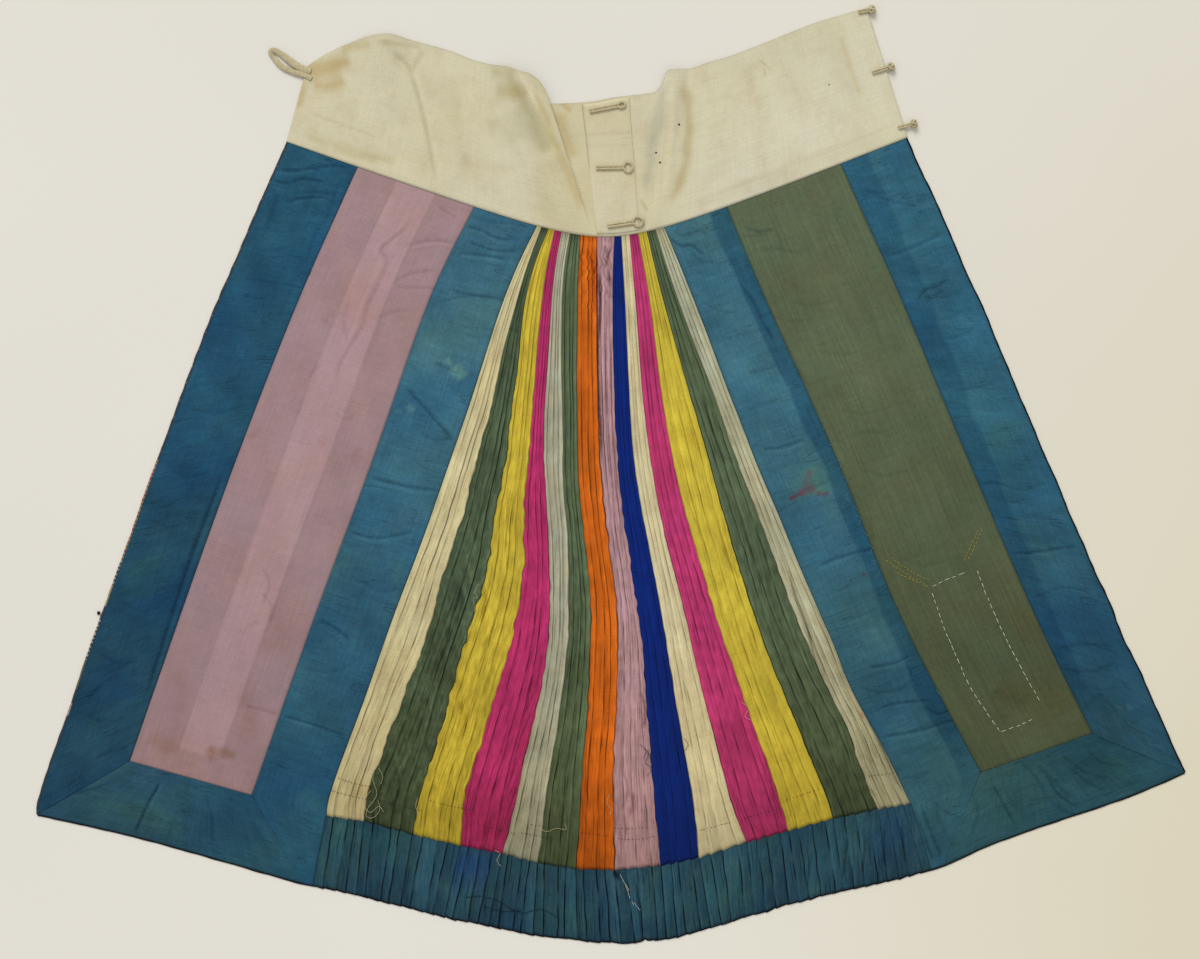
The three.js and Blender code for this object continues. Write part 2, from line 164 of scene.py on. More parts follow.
WAIST = {"low_x": -6.9, "low_y": 273.7, "bend": 69, "left_slope": 0.36, "right_slope": 0.4}
SEAM_HEIGHTS = [201, 17, -167, -351]
PANEL_SEAMS = {
    "left_edge": (-371, [-450, -520, -586, -650], (-659, -390)),
    "pink_left": (-291, [-359, -431, -497], (-553, -329)),
    "pink_right": (-157, [-209, -274, -342], (-413, -368)),
    "green_left": (133, [178, 260, 335], (425, -342)),
    "green_right": (264, [334, 411, 490], (553, -297)),
    "right_edge": (339, [422, 500, 580], (659, -342)),
}
STRIP_SEAMS = [
    (-85, [-123, -184, -251, -317], (-327, -392)),
    (-80, [-108, -154, -207, -274], (-284, -398)),
    (-72, [-98, -121, -158, -214], (-228, -413)),
    (-65, [-79, -95, -109, -163], (-173, -426)),
    (-57, [-68, -77, -70, -104], (-125, -435)),
    (-47, [-56, -55, -48, -71], (-84, -446)),
    (-35, [-38, -38, -23, -33], (-40, -453)),
    (-16, [-16, -13, 7, 3], (4, -454)),
    (4, [2, 7, 32, 48], (57, -449)),
    (12, [16, 27, 59, 90], (101, -440)),
    (21, [28, 45, 86, 131], (156, -422)),
    (31, [44, 71, 122, 186], (204, -409)),
    (41, [60, 112, 165, 240], (255, -395)),
    (51, [77, 145, 214, 293], (307, -384)),
    (61, [95, 166, 244, 331], (345, -378)),
]
HEM_POINTS = [
    (-659, -390), (-552, -414), (-450, -442), (-355, -469), (-294, -481), (-203, -504),
    (-90, -527), (-6, -536), (40, -535), (90, -526), (217, -489), (325, -464),
    (381, -449), (432, -426), (495, -403), (590, -371), (659, -342),
]
HEM_X = {"left_corner": -659, "left_mitre": -355, "pleats_left": -343,
         "pleats_right": 368, "right_mitre": 381, "right_corner": 659}
LONG_SHARE = 13 / 15


def waist_point(x):
    away = np.asarray(x, float) - WAIST["low_x"]
    slope = np.where(away < 0, WAIST["left_slope"], WAIST["right_slope"])
    return np.stack([away + WAIST["low_x"],
                     WAIST["low_y"] + slope * (np.hypot(away, WAIST["bend"]) - WAIST["bend"])], axis=-1)


def waist_between(start, end):
    return lambda share: waist_point(start + (end - start) * np.asarray(share, float))


def long_seam(waist_x, at, end):
    return Spline([tuple(waist_point(waist_x)), *zip(at, SEAM_HEIGHTS), end])


HEM_CURVE = Spline(HEM_POINTS, 2400)


def hem_point(x):
    x = np.asarray(x, float)
    return np.stack([x, np.interp(x, HEM_CURVE.points[:, 0], HEM_CURVE.points[:, 1])], axis=-1)


def hem_between(start, end):
    return lambda share: hem_point(start + (end - start) * np.asarray(share, float))


# Small irregularities, the same in every run


def ripple(x, y, size, seed, waves=7):
    """Smooth unevenness between about -1 and 1, with bumps of the given size in millimetres."""
    rng = np.random.RandomState(seed)
    total = 0
    for _ in range(waves):
        turn = rng.uniform(0, 2 * math.pi)
        length = size * rng.uniform(0.6, 1.7)
        phase = rng.uniform(0, 2 * math.pi)
        total = total + np.sin((x * math.cos(turn) + y * math.sin(turn)) * 2 * math.pi / length + phase)
    return total / math.sqrt(waves) / 1.4


def along_ripple(at, size, seed):
    """The same for a single run of values."""
    rng = np.random.RandomState(seed)
    total = 0
    for _ in range(5):
        length = size * rng.uniform(0.6, 1.8)
        total = total + np.sin(at * 2 * math.pi / length + rng.uniform(0, 2 * math.pi))
    return total / 3


def smooth(low, high, value):
    share = np.clip((value - low) / (high - low), 0, 1)
    return share * share * (3 - 2 * share)


def near(x, y, points, width, fade=0.15, seed=0):
    """1 on a line of points, falling off over width millimetres, and fading out at both ends."""
    points = np.array(points, float)
    lengths = np.linalg.norm(np.diff(points, axis=0), axis=1)
    starts = np.concatenate([[0], np.cumsum(lengths)])
    best = np.full(x.shape, 1e9)
    place = np.zeros(x.shape)
    for index, (start, end) in enumerate(zip(points[:-1], points[1:])):
        step = end - start
        share = np.clip(((x - start[0]) * step[0] + (y - start[1]) * step[1]) / (step @ step), 0, 1)
        away = np.hypot(x - start[0] - share * step[0], y - start[1] - share * step[1])
        closer = away < best
        best = np.where(closer, away, best)
        place = np.where(closer, (starts[index] + share * lengths[index]) / starts[-1], place)
    if seed:
        best = np.abs(best + width * 0.3 * ripple(x, y, width * 5, seed))
    ends = smooth(0, fade, place) * smooth(0, fade, 1 - place) if fade else 1
    return np.exp(-(best / width) ** 2) * ends


def bent(pixels):
    """Points of the photograph as points of a smooth curve of the drawing."""
    points = from_photo(*pixels)
    return points if len(points) < 3 else Spline(points, 5 * len(points)).points


def mark(x, y, height, tint, marks, layer=None):
    """Adds marks to a cloth: each is (points in the photo, width, rise in mm, tint or shade).

    layer tells where a mark that starts at a given x may show.
    """
    for seed, (pixels, width, rise, colour) in enumerate(marks, 3):
        share = near(x, y, bent(pixels), width, seed=seed)
        if layer is not None:
            share = share * layer(from_photo(*pixels)[0][0])
        height += rise * share
        tint *= 1 + (np.array(colour) - 1) * share[..., None]


# Meshes


def make_mesh(name, points, quads, flat_from=None, tint=None, weave=None, triangles=()):
    """A mesh object from points in millimetres. Faces from flat_from on are shaded flat."""
    points = np.asarray(points, float).copy()
    points[:, 0] += SHIFT[0]
    points[:, 1] += SHIFT[1]
    quads = np.asarray(quads, np.int32).reshape(-1, 4)
    triangles = np.asarray(triangles, np.int32).reshape(-1, 3)
    mesh = bpy.data.meshes.new(name)
    mesh.vertices.add(len(points))
    mesh.vertices.foreach_set("co", (points / 1000).astype(np.float32).ravel())
    mesh.loops.add(quads.size + triangles.size)
    mesh.loops.foreach_set("vertex_index", np.concatenate([quads.ravel(), triangles.ravel()]))
    mesh.polygons.add(len(quads) + len(triangles))
    starts = np.concatenate([np.arange(len(quads)) * 4, quads.size + np.arange(len(triangles)) * 3])
    mesh.polygons.foreach_set("loop_start", starts.astype(np.int32))
    smooth_faces = np.ones(len(quads) + len(triangles), bool)
    if flat_from is not None:
        smooth_faces[flat_from:] = False
    mesh.polygons.foreach_set("use_smooth", smooth_faces)
    mesh.update(calc_edges=True)
    mesh.validate()
    if tint is None:
        tint = np.ones((len(points), 3))
    colours = mesh.attributes.new("tint", "FLOAT_COLOR", "POINT")
    colours.data.foreach_set("color", np.hstack([tint, np.ones((len(tint), 1))]).astype(np.float32).ravel())
    if weave is None:
        weave = points
    threads = mesh.attributes.new("weave", "FLOAT_VECTOR", "POINT")
    threads.data.foreach_set("vector", (weave / 1000).astype(np.float32).ravel())
    piece = bpy.data.objects.new(name, mesh)
    bpy.context.scene.collection.objects.link(piece)
    return piece


def cells(grid):
    return np.stack([grid[:-1, :-1], grid[1:, :-1], grid[1:, 1:], grid[:-1, 1:]], axis=-1).reshape(-1, 4)


def around(grid):
    return np.concatenate([grid[:-1, 0], grid[-1, :-1], grid[:0:-1, -1], grid[0, :0:-1]])


def shell(name, plan, top, under, tint, weave, coarse=1):
    """A closed thin cloth from a grid of plan points, with its upper and lower heights.

    coarse is how many cells of the upper face, each way, lie over one cell of the lower face.
    """
    rows, columns = top.shape
    kept = np.ix_(*(
        np.unique(np.append(np.arange(0, count, coarse), count - 1)) for count in (rows, columns)
    ))
    upper = np.arange(rows * columns).reshape(rows, columns)
    lower = np.full((rows, columns), -1)
    lower[kept] = rows * columns + np.arange(lower[kept].size).reshape(lower[kept].shape)
    above = cells(upper)
    below = cells(lower[kept])[:, ::-1]
    rim, foot = around(upper), around(lower)
    foot = foot[np.maximum.accumulate(np.where(foot >= 0, np.arange(len(foot)), 0))]
    next_rim, next_foot = np.roll(rim, -1), np.roll(foot, -1)
    turns = foot != next_foot
    sides = np.concatenate([
        np.stack([foot, next_rim, rim], axis=-1),
        np.stack([foot, next_foot, next_rim], axis=-1)[turns],
    ])
    points = [np.dstack([plan, top]).reshape(-1, 3), np.dstack([plan, under])[kept].reshape(-1, 3)]
    return make_mesh(
        name,
        np.concatenate(points),
        np.concatenate([above, below]),
        flat_from=len(above) + len(below),
        tint=np.concatenate([tint.reshape(-1, 3), tint[kept].reshape(-1, 3)]),
        weave=np.concatenate([weave.reshape(-1, 3), weave[kept].reshape(-1, 3)]),
        triangles=sides,
    )


def tube_grid(path, radii, sides, flat=1.0, twist=None):
    """Rings of points round a path. radii is one a point; flat squashes them in height.

    twist is (how much, over what length) for a cord of two plies.
    """
    path = np.asarray(path, float)
    ahead = np.gradient(path, axis=0)
    ahead /= np.linalg.norm(ahead, axis=1)[:, None] + 1e-9
    side = np.cross(ahead, [0, 0, 1.0])
    weak = np.linalg.norm(side, axis=1) < 0.2
    side[weak] = np.cross(ahead[weak], [0, 1.0, 0])
    side /= np.linalg.norm(side, axis=1)[:, None]
    upward = np.cross(side, ahead)
    turns = np.arange(sides) * 2 * math.pi / sides
    radii = np.asarray(radii, float)[:, None] * np.ones((1, sides))
    if twist is not None:
        much, over = twist
        lengths = np.concatenate([[0], np.cumsum(np.linalg.norm(np.diff(path, axis=0), axis=1))])
        radii = radii * (1 + much * np.cos(2 * (turns[None] - lengths[:, None] * 2 * math.pi / over)))
    return (
        path[:, None]
        + side[:, None] * (radii * np.cos(turns))[..., None]
        + upward[:, None] * (radii * np.sin(turns))[..., None] * flat
    )


def tube_object(name, parts):
    """One object of tubes, each given as its rings of points and its path, or None for a closed one."""
    points, quads, triangles = [], [], []
    first = 0
    for grid, path in parts:
        rings, sides = grid.shape[:2]
        points.append(grid.reshape(-1, 3))
        for ring in range(rings if path is None else rings - 1):
            here, there = first + ring * sides, first + ((ring + 1) % rings) * sides
            for side in range(sides):
                following = (side + 1) % sides
                quads.append((here + side, there + side, there + following, here + following))
        if path is not None:
            heads = first + rings * sides
            last = heads - sides
            points.append(np.array([path[0], path[-1]]))
            for side in range(sides):
                following = (side + 1) % sides
                triangles.append((heads, first + side, first + following))
                triangles.append((heads + 1, last + following, last + side))
        first = sum(len(part) for part in points)
    return make_mesh(name, np.concatenate(points), quads, triangles=triangles)


def tubes(name, paths, radius, sides=5, twist=None, closed=False):
    """One object of many thread or cord lengths of one radius."""
    parts = []
    for path in paths:
        path = np.asarray(path, float)
        grid = tube_grid(path, np.full(len(path), float(radius)), sides, twist=twist)
        parts.append((grid, None if closed else path))
    return tube_object(name, parts)


# Materials


def linear(red, green, blue):
    """A colour read off in ordinary 0 to 255 values, as the shader wants it."""
    values = []
    for value in (red, green, blue):
        value /= 255
        values.append(value / 12.92 if value <= 0.04045 else ((value + 0.055) / 1.055) ** 2.4)
    return (*values, 1)


class Nodes:
    """Small helper for building a node tree."""

    def __init__(self, name):
        self.material = bpy.data.materials.new(name)
        self.material.use_nodes = True
        self.tree = self.material.node_tree
        self.shader = self.tree.nodes["Principled BSDF"]

    def add(self, kind, links=(), **settings):
        node = self.tree.nodes.new(kind)
        for key, value in settings.items():
            setattr(node, key, value)
        for socket, value in links:
            if isinstance(value, bpy.types.NodeSocket):
                self.tree.links.new(value, node.inputs[socket])
            else:
                node.inputs[socket].default_value = value
        return node

    def attribute(self, name, output):
        return self.add("ShaderNodeAttribute", attribute_name=name).outputs[output]

    def scaled(self, vector, scale):
        return self.add("ShaderNodeMapping", [("Vector", vector), ("Scale", scale)]).outputs["Vector"]

    def noise(self, vector, scale, detail=2.0, rough=0.5):
        links = [("Vector", vector), ("Scale", scale), ("Detail", detail), ("Roughness", rough)]
        return self.add("ShaderNodeTexNoise", links).outputs["Fac"]

    def ranged(self, value, low, high, to_low, to_high):
        links = [("Value", value), ("From Min", low), ("From Max", high), ("To Min", to_low),
                 ("To Max", to_high)]
        return self.add("ShaderNodeMapRange", links).outputs["Result"]

    def maths(self, operation, first, second):
        return self.add("ShaderNodeMath", [(0, first), (1, second)], operation=operation).outputs[0]

    def product(self, first, *others):
        for other in others:
            first = self.maths("MULTIPLY", first, other)
        return first

    def varied(self, value, low, high, amount):
        """A factor that strays from 1 by the amount, as the value runs from low to high."""
        return self.ranged(value, low, high, 1 - amount, 1 + amount)

    def away(self, value, middle):
        return self.maths("ABSOLUTE", self.maths("SUBTRACT", value, middle), 0)

    def mixed(self, blend, share, first, second):
        links = [(0, share), (6, first), (7, second)]
        return self.add("ShaderNodeMix", links, data_type="RGBA", blend_type=blend).outputs[2]

    def grey(self, shade):
        links = [(channel, shade) for channel in ("Red", "Green", "Blue")]
        return self.add("ShaderNodeCombineColor", links).outputs["Color"]

    def bump(self, height, distance, strength=1.0, below=None):
        links = [("Height", height), ("Distance", distance), ("Strength", strength)]
        if below is not None:
            links.append(("Normal", below))
        return self.add("ShaderNodeBump", links).outputs["Normal"]

    def link(self, output, socket):
        self.tree.links.new(output, self.shader.inputs[socket])


def cloth_material(name, colour, roughness, sheen, streak, slub, cloud=0.06, mottle=0.10, crumple=0.0,
                   across=0.0, worn=None, thread=0.55, grain=0.06, spots=()):
    """Woven cloth. The weave attribute runs across and along the cloth, in metres.

    streak is how much the warp threads differ in shade, slub the weft ones, cloud broad fading, mottle small.
    crumple is how strong the fine lengthwise wrinkles are, which run as short broken dark lines, and across
    the same for longer ones that cross the cloth. Their dark lines and the soft shading over their bumps
    are painted shade, and the pale lines beside the fine ones painted highlight.
    worn is a second colour and how strongly it shows in blotches.
    thread is the thread spacing in millimetres, and grain the height of the weave in millimetres.
    spots are (x, y, radius in mm, colour).
    """
    nodes = Nodes(name)
    weave = nodes.attribute("weave", "Vector")

    def threads_noise(scale, detail, rough):
        return nodes.noise(nodes.scaled(weave, scale), 1.0, detail, rough)

    lengthwise = threads_noise((420, 9, 1), 3.0, 0.6)
    crosswise = threads_noise((16, 620, 1), 3.0, 0.6)
    broad = nodes.noise(weave, 11.0, 4.0, 0.6)
    mottled = nodes.noise(nodes.scaled(weave, (1, 0.7, 1)), 230.0, 3.0, 0.65)
    fine = nodes.noise(weave, 900.0, 2.0, 0.7)
    shade = nodes.product(
        nodes.varied(lengthwise, 0.3, 0.7, streak),
        nodes.varied(crosswise, 0.3, 0.7, slub),
        nodes.varied(broad, 0.3, 0.7, cloud),
        nodes.varied(mottled, 0.25, 0.75, mottle),
        nodes.varied(fine, 0.2, 0.8, 0.10),
    )
    relief = None
    if crumple:
        soft = threads_noise((300, 34, 1), 3.0, 0.55)
        thin = threads_noise((230, 6, 1), 2.0, 0.5)
        pale = threads_noise((250, 7, 3), 2.0, 0.5)
        where = threads_noise((70, 8, 1), 2.0, 0.5)
        low = nodes.add("ShaderNodeSeparateXYZ", [("Vector", weave)]).outputs["Y"]
        # Painted shade along the wrinkles and painted highlight along the pale ridges, in the base colour
        wrinkle = nodes.product(
            nodes.ranged(nodes.away(thin, 0.5), 0.0, 0.02, 1, 0),
            nodes.ranged(where, 0.46, 0.62, 0, 1),
            nodes.ranged(low, -0.12, -0.50, 0.45, 1),
        )
        ridge = nodes.product(
            nodes.ranged(nodes.away(pale, 0.53), 0.0, 0.022, 1, 0),
            nodes.ranged(where, 0.56, 0.42, 0, 1),
        )
        shade = nodes.product(
            shade,
            nodes.varied(soft, 0.3, 0.7, 0.13 * crumple),
            nodes.ranged(wrinkle, 0, 1, 1, 1 - 0.27 * min(crumple, 1.8)),
            nodes.ranged(ridge, 0, 1, 1, 1 + 0.16 * min(crumple, 1.8)),
        )
        folds = nodes.maths("SUBTRACT", soft, nodes.product(wrinkle, 0.4))
        relief = nodes.bump(folds, 0.0016 * min(crumple, 1.3), 0.8)
    if across:
        soft = threads_noise((28, 105, 1), 3.0, 0.6)
        thin = threads_noise((13, 62, 1), 2.0, 0.5)
        where = threads_noise((24, 40, 1), 2.0, 0.5)
        # Painted shade along the longer crossing wrinkles, in the base colour
        wrinkle = nodes.product(
            nodes.ranged(nodes.away(thin, 0.5), 0.0, 0.014, 1, 0),
            nodes.ranged(where, 0.52, 0.66, 0, 1),
        )
        shade = nodes.product(
            shade,
            nodes.varied(soft, 0.3, 0.7, 0.10 * across),
            nodes.ranged(wrinkle, 0, 1, 1, 1 - 0.26 * across),
        )
        folds = nodes.maths("SUBTRACT", soft, nodes.product(wrinkle, 0.5))
        relief = nodes.bump(folds, 0.002 * across, 0.8)
    dye = linear(*colour)
    if worn:
        worn_colour, strength = worn
        blotch = nodes.noise(nodes.scaled(weave, (1, 0.8, 1)), 30.0, 5.0, 0.68)
        dye = nodes.mixed("MIX", nodes.ranged(blotch, 0.46, 0.74, 0, strength), dye, linear(*worn_colour))
    dyed = nodes.mixed("MULTIPLY", 1, nodes.grey(shade), dye)
    base = nodes.mixed("MULTIPLY", 1, dyed, nodes.attribute("tint", "Color"))
    if spots:
        place = nodes.scaled(nodes.add("ShaderNodeNewGeometry").outputs["Position"], (1, 1, 0))
        for x, y, radius, spot_colour in spots:
            ends = [(0, place), (1, ((x + SHIFT[0]) / 1000, (y + SHIFT[1]) / 1000, 0))]
            distance = nodes.add("ShaderNodeVectorMath", ends, operation="DISTANCE").outputs["Value"]
            share = nodes.ranged(distance, radius * 0.0006, radius * 0.0011, 1.0, 0.0)
            base = nodes.mixed("MIX", share, base, linear(*spot_colour))
    nodes.link(base, "Base Color")
    wave = [("Vector", weave), ("Scale", 1000 / thread / 20), ("Distortion", 1.2), ("Detail", 1.0),
            ("Detail Scale", 4.0)]
    warp, weft = (
        nodes.add("ShaderNodeTexWave", wave, wave_type="BANDS", bands_direction=way).outputs["Fac"]
        for way in ("X", "Y")
    )
    threads = nodes.bump(nodes.product(warp, weft), grain * 0.001, 0.5, relief)
    slubs = nodes.bump(crosswise, grain * 0.003, 0.5, threads)
    nodes.link(nodes.bump(fine, grain * 0.002, 0.5, slubs), "Normal")
    nodes.link(nodes.ranged(fine, 0.2, 0.8, roughness - 0.06, roughness + 0.06), "Roughness")
    nodes.shader.inputs["Sheen Weight"].default_value = sheen
    nodes.shader.inputs["Sheen Roughness"].default_value = 0.4
    nodes.shader.inputs["Specular IOR Level"].default_value = 0.06
    return nodes.material


def floor_material():
    nodes = Nodes("matt floor")
    place = nodes.add("ShaderNodeTexCoord").outputs["Object"]
    shade = nodes.product(
        nodes.varied(nodes.noise(place, 1.1, 3.0), 0.3, 0.7, 0.02),
        nodes.varied(nodes.noise(place, 260.0, 2.0), 0.2, 0.8, 0.005),
    )
    halves = nodes.add("ShaderNodeSeparateXYZ", [("Vector", place)]).outputs
    # Warmer towards the right and the bottom: a painted warm cast of light on the floor.
    warm = nodes.product(
        nodes.ranged(halves["X"], 0.0, 0.70, 0, 1),
        nodes.ranged(halves["Y"], 0.55, -0.45, 0.3, 1),
    )
    colour = nodes.mixed("MIX", warm, linear(228, 225, 216), linear(220, 213, 188))
    nodes.link(nodes.mixed("MULTIPLY", 1, nodes.grey(shade), colour), "Base Color")
    nodes.shader.inputs["Roughness"].default_value = 0.75
    nodes.shader.inputs["Specular IOR Level"].default_value = 0.15
    return nodes.material


def add_floor():
    plane = make_mesh("floor", [(-3000, -3000, 0), (3000, -3000, 0), (3000, 3000, 0), (-3000, 3000, 0)],
                      [(0, 1, 2, 3)])
    plane.data.materials.append(floor_material())


# One colour for each silk, in ordinary 0 to 255 values, set by comparing renders with the photograph
STRIPS = [
    ("cream", (201, 191, 148)), ("dark_green", (72, 87, 65)), ("yellow", (193, 172, 58)),
    ("magenta", (176, 48, 102)), ("grey_green", (164, 164, 142)), ("green", (82, 97, 71)),
    ("orange", (198, 98, 24)), ("lilac", (180, 142, 148)), ("royal_blue", (11, 37, 114)),
    ("cream", (211, 200, 159)), ("magenta", (182, 56, 110)), ("yellow", (197, 178, 62)),
    ("dark_green", (81, 96, 71)), ("grey", (174, 173, 143)),
]
PLEATS = 4
PLEAT_COLUMNS = [
    # place across one pleat, height (0 valley, 1 crest), and the point's part in two small creases
    (0.0, 0.0, 0, 0), (0.03, 0.12, 0, 0), (0.07, 0.55, 0, 0), (0.12, 0.92, 0, 0), (0.2, 1.0, 0, 0),
    (0.3, 0.92, 0, 0), (0.38, 0.84, -0.3, 0), (0.415, 0.8, 1, 0), (0.45, 0.75, -0.2, 0), (0.56, 0.58, 0, 0),
    (0.66, 0.44, 0, -0.3), (0.695, 0.39, 0, 1), (0.73, 0.34, 0, -0.2), (0.85, 0.17, 0, 0), (0.94, 0.06, 0, 0),
]
CREASE_DEPTH = 0.42
# Width in mm of the painted shadow along each fold line, and mm from the fold to the painted highlight
FOLD_SHADOW_WIDTH, CREST_HIGHLIGHT_AT = 0.65, 2.0
PLEAT_RISE, PLEAT_RISE_AT_WAIST, STACK_AT_WAIST = 1.3, 0.45, 2.6
SILK_TOP = 2.0
HEM_SHARE = 0.11
HEM_DEPTH = 82
STRIP_LENGTH = 740

WORN = {"cream": ((178, 150, 104), 0.5), "grey": ((150, 130, 98), 0.4), "grey_green": ((176, 158, 118), 0.35),
        "lilac": ((150, 116, 112), 0.4), "yellow": ((176, 144, 44), 0.4), "orange": ((180, 84, 26), 0.4)}

# How strongly the folds' painted shade and highlight, and the other tints, show in each silk
LIVELY = {"cream": 1.1, "grey": 1.3, "grey_green": 1.6, "lilac": 1.3, "yellow": 1.25, "orange": 2.0,
          "magenta": 1.6, "royal_blue": 1.2, "green": 2.3, "dark_green": 2.2}

# How much each long seam between strips wanders, in millimetres, from the left: long waves and short ones
LONG_WANDER = [0.8, 1.4, 1.9, 1.7, 1.2, 0.8, 0.6, 0.9, 1.1, 0.6, 0.6, 0.8, 0.9, 1.0, 0.7]
SHORT_WANDER = [0.0, 1.5, 1.7, 1.6, 1.0, 0.5, 0.7, 1.1, 1.3, 0.4, 0.5, 0.7, 0.7, 0.9, 0.0]
# Single swings of a seam: (share of its length, how long, millimetres to the right)
SWINGS = {13: (0.86, 0.05, 4.0), 14: (0.79, 0.06, -5.0), 12: (0.62, 0.08, 2.0), 2: (0.72, 0.07, -2.0)}
# How crinkled each strip is, from the left
CRINKLE = [0.5, 1.3, 1.4, 1.0, 0.5, 0.6, 0.4, 1.0, 0.25, 0.35, 0.6, 0.6, 0.8, 0.5]
# Strips that are gathered just below the band, and how strong the painted light and shade on the gathers is
GATHERED = {6: 0.06, 7: 0.16}
# Folds whose painted shadow is far darker than the rest: (strip, pleat, from, to, strength)
DARK_FOLD_SHADOWS = [(7, 0, 0.0, 0.5, 0.9), (7, 1, 0.04, 0.45, 0.5), (7, 2, 0.1, 0.4, 0.2), (6, 0, 0.0, 0.12, 1.0),
              (1, 1, 0.3, 0.8, 0.6), (13, 0, 0.5, 1.0, 0.7), (12, 0, 0.3, 1.0, 0.6), (0, 2, 0.3, 0.7, 0.6)]


def dress(piece, material, slot, *nodes):
    """Gives a piece its material and its body. A piece that stands for a node is named after it."""
    if nodes:
        piece.name = piece.data.name = f"{nodes[0]}_made"
    piece.data.materials.append(material)
    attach(piece, "root")
    if nodes:
        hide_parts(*nodes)
    return piece


def outline_area(plan):
    x, y = around(plan).T
    return abs(np.sum(x * np.roll(y, -1) - y * np.roll(x, -1))) / 2e6


def cut(piece, plan):
    middle = plan[:, plan.shape[1] // 2]
    length = np.linalg.norm(np.diff(middle, axis=0), axis=1).sum() / 1000
    width = np.linalg.norm(np.diff(plan, axis=1), axis=2).sum(axis=1).max() / 1000
    area = outline_area(plan)


# Framed panels

SEAM = {name: long_seam(*row) for name, row in PANEL_SEAMS.items()}
PLEAT_SEAM = [long_seam(*row) for row in STRIP_SEAMS]


def long_wave(number):
    """How far a strip's long seam wanders sideways in long waves, in millimetres."""
    at, length, swing = SWINGS.get(number, (0.5, 0.1, 0.0))
    return lambda share: (
        LONG_WANDER[number] * smooth(0.0, 0.03, 1 - share) * smooth(0.03, 0.35, share)
        * along_ripple(share, 0.24, 40 + number) + swing * np.exp(-((share - at) / length) ** 2)
    )


def short_wave(number, share):
    """The short waves of the same seam, which the cloth beside it doesn't follow."""
    ends = smooth(0.0, 0.03, 1 - share) * smooth(0.12, 0.5, share)
    return SHORT_WANDER[number] * ends * (0.7 * along_ripple(share, 0.05, 70 + number)
                                          + 0.4 * along_ripple(share, 0.022, 90 + number))


WAVY_SEAM = [moved(curve, long_wave(number)) for number, curve in enumerate(PLEAT_SEAM)]


def edge_wave(swing, ends, size, seed):
    return lambda share: (
        swing * smooth(0, ends, share) * smooth(0, ends, 1 - share) * along_ripple(share, size, seed)
    )


SEAM["right_edge"] = moved(SEAM["right_edge"], edge_wave(1.1, 0.05, 0.11, 91))
SEAM["left_edge"] = moved(SEAM["left_edge"], edge_wave(0.7, 0.1, 0.22, 92))
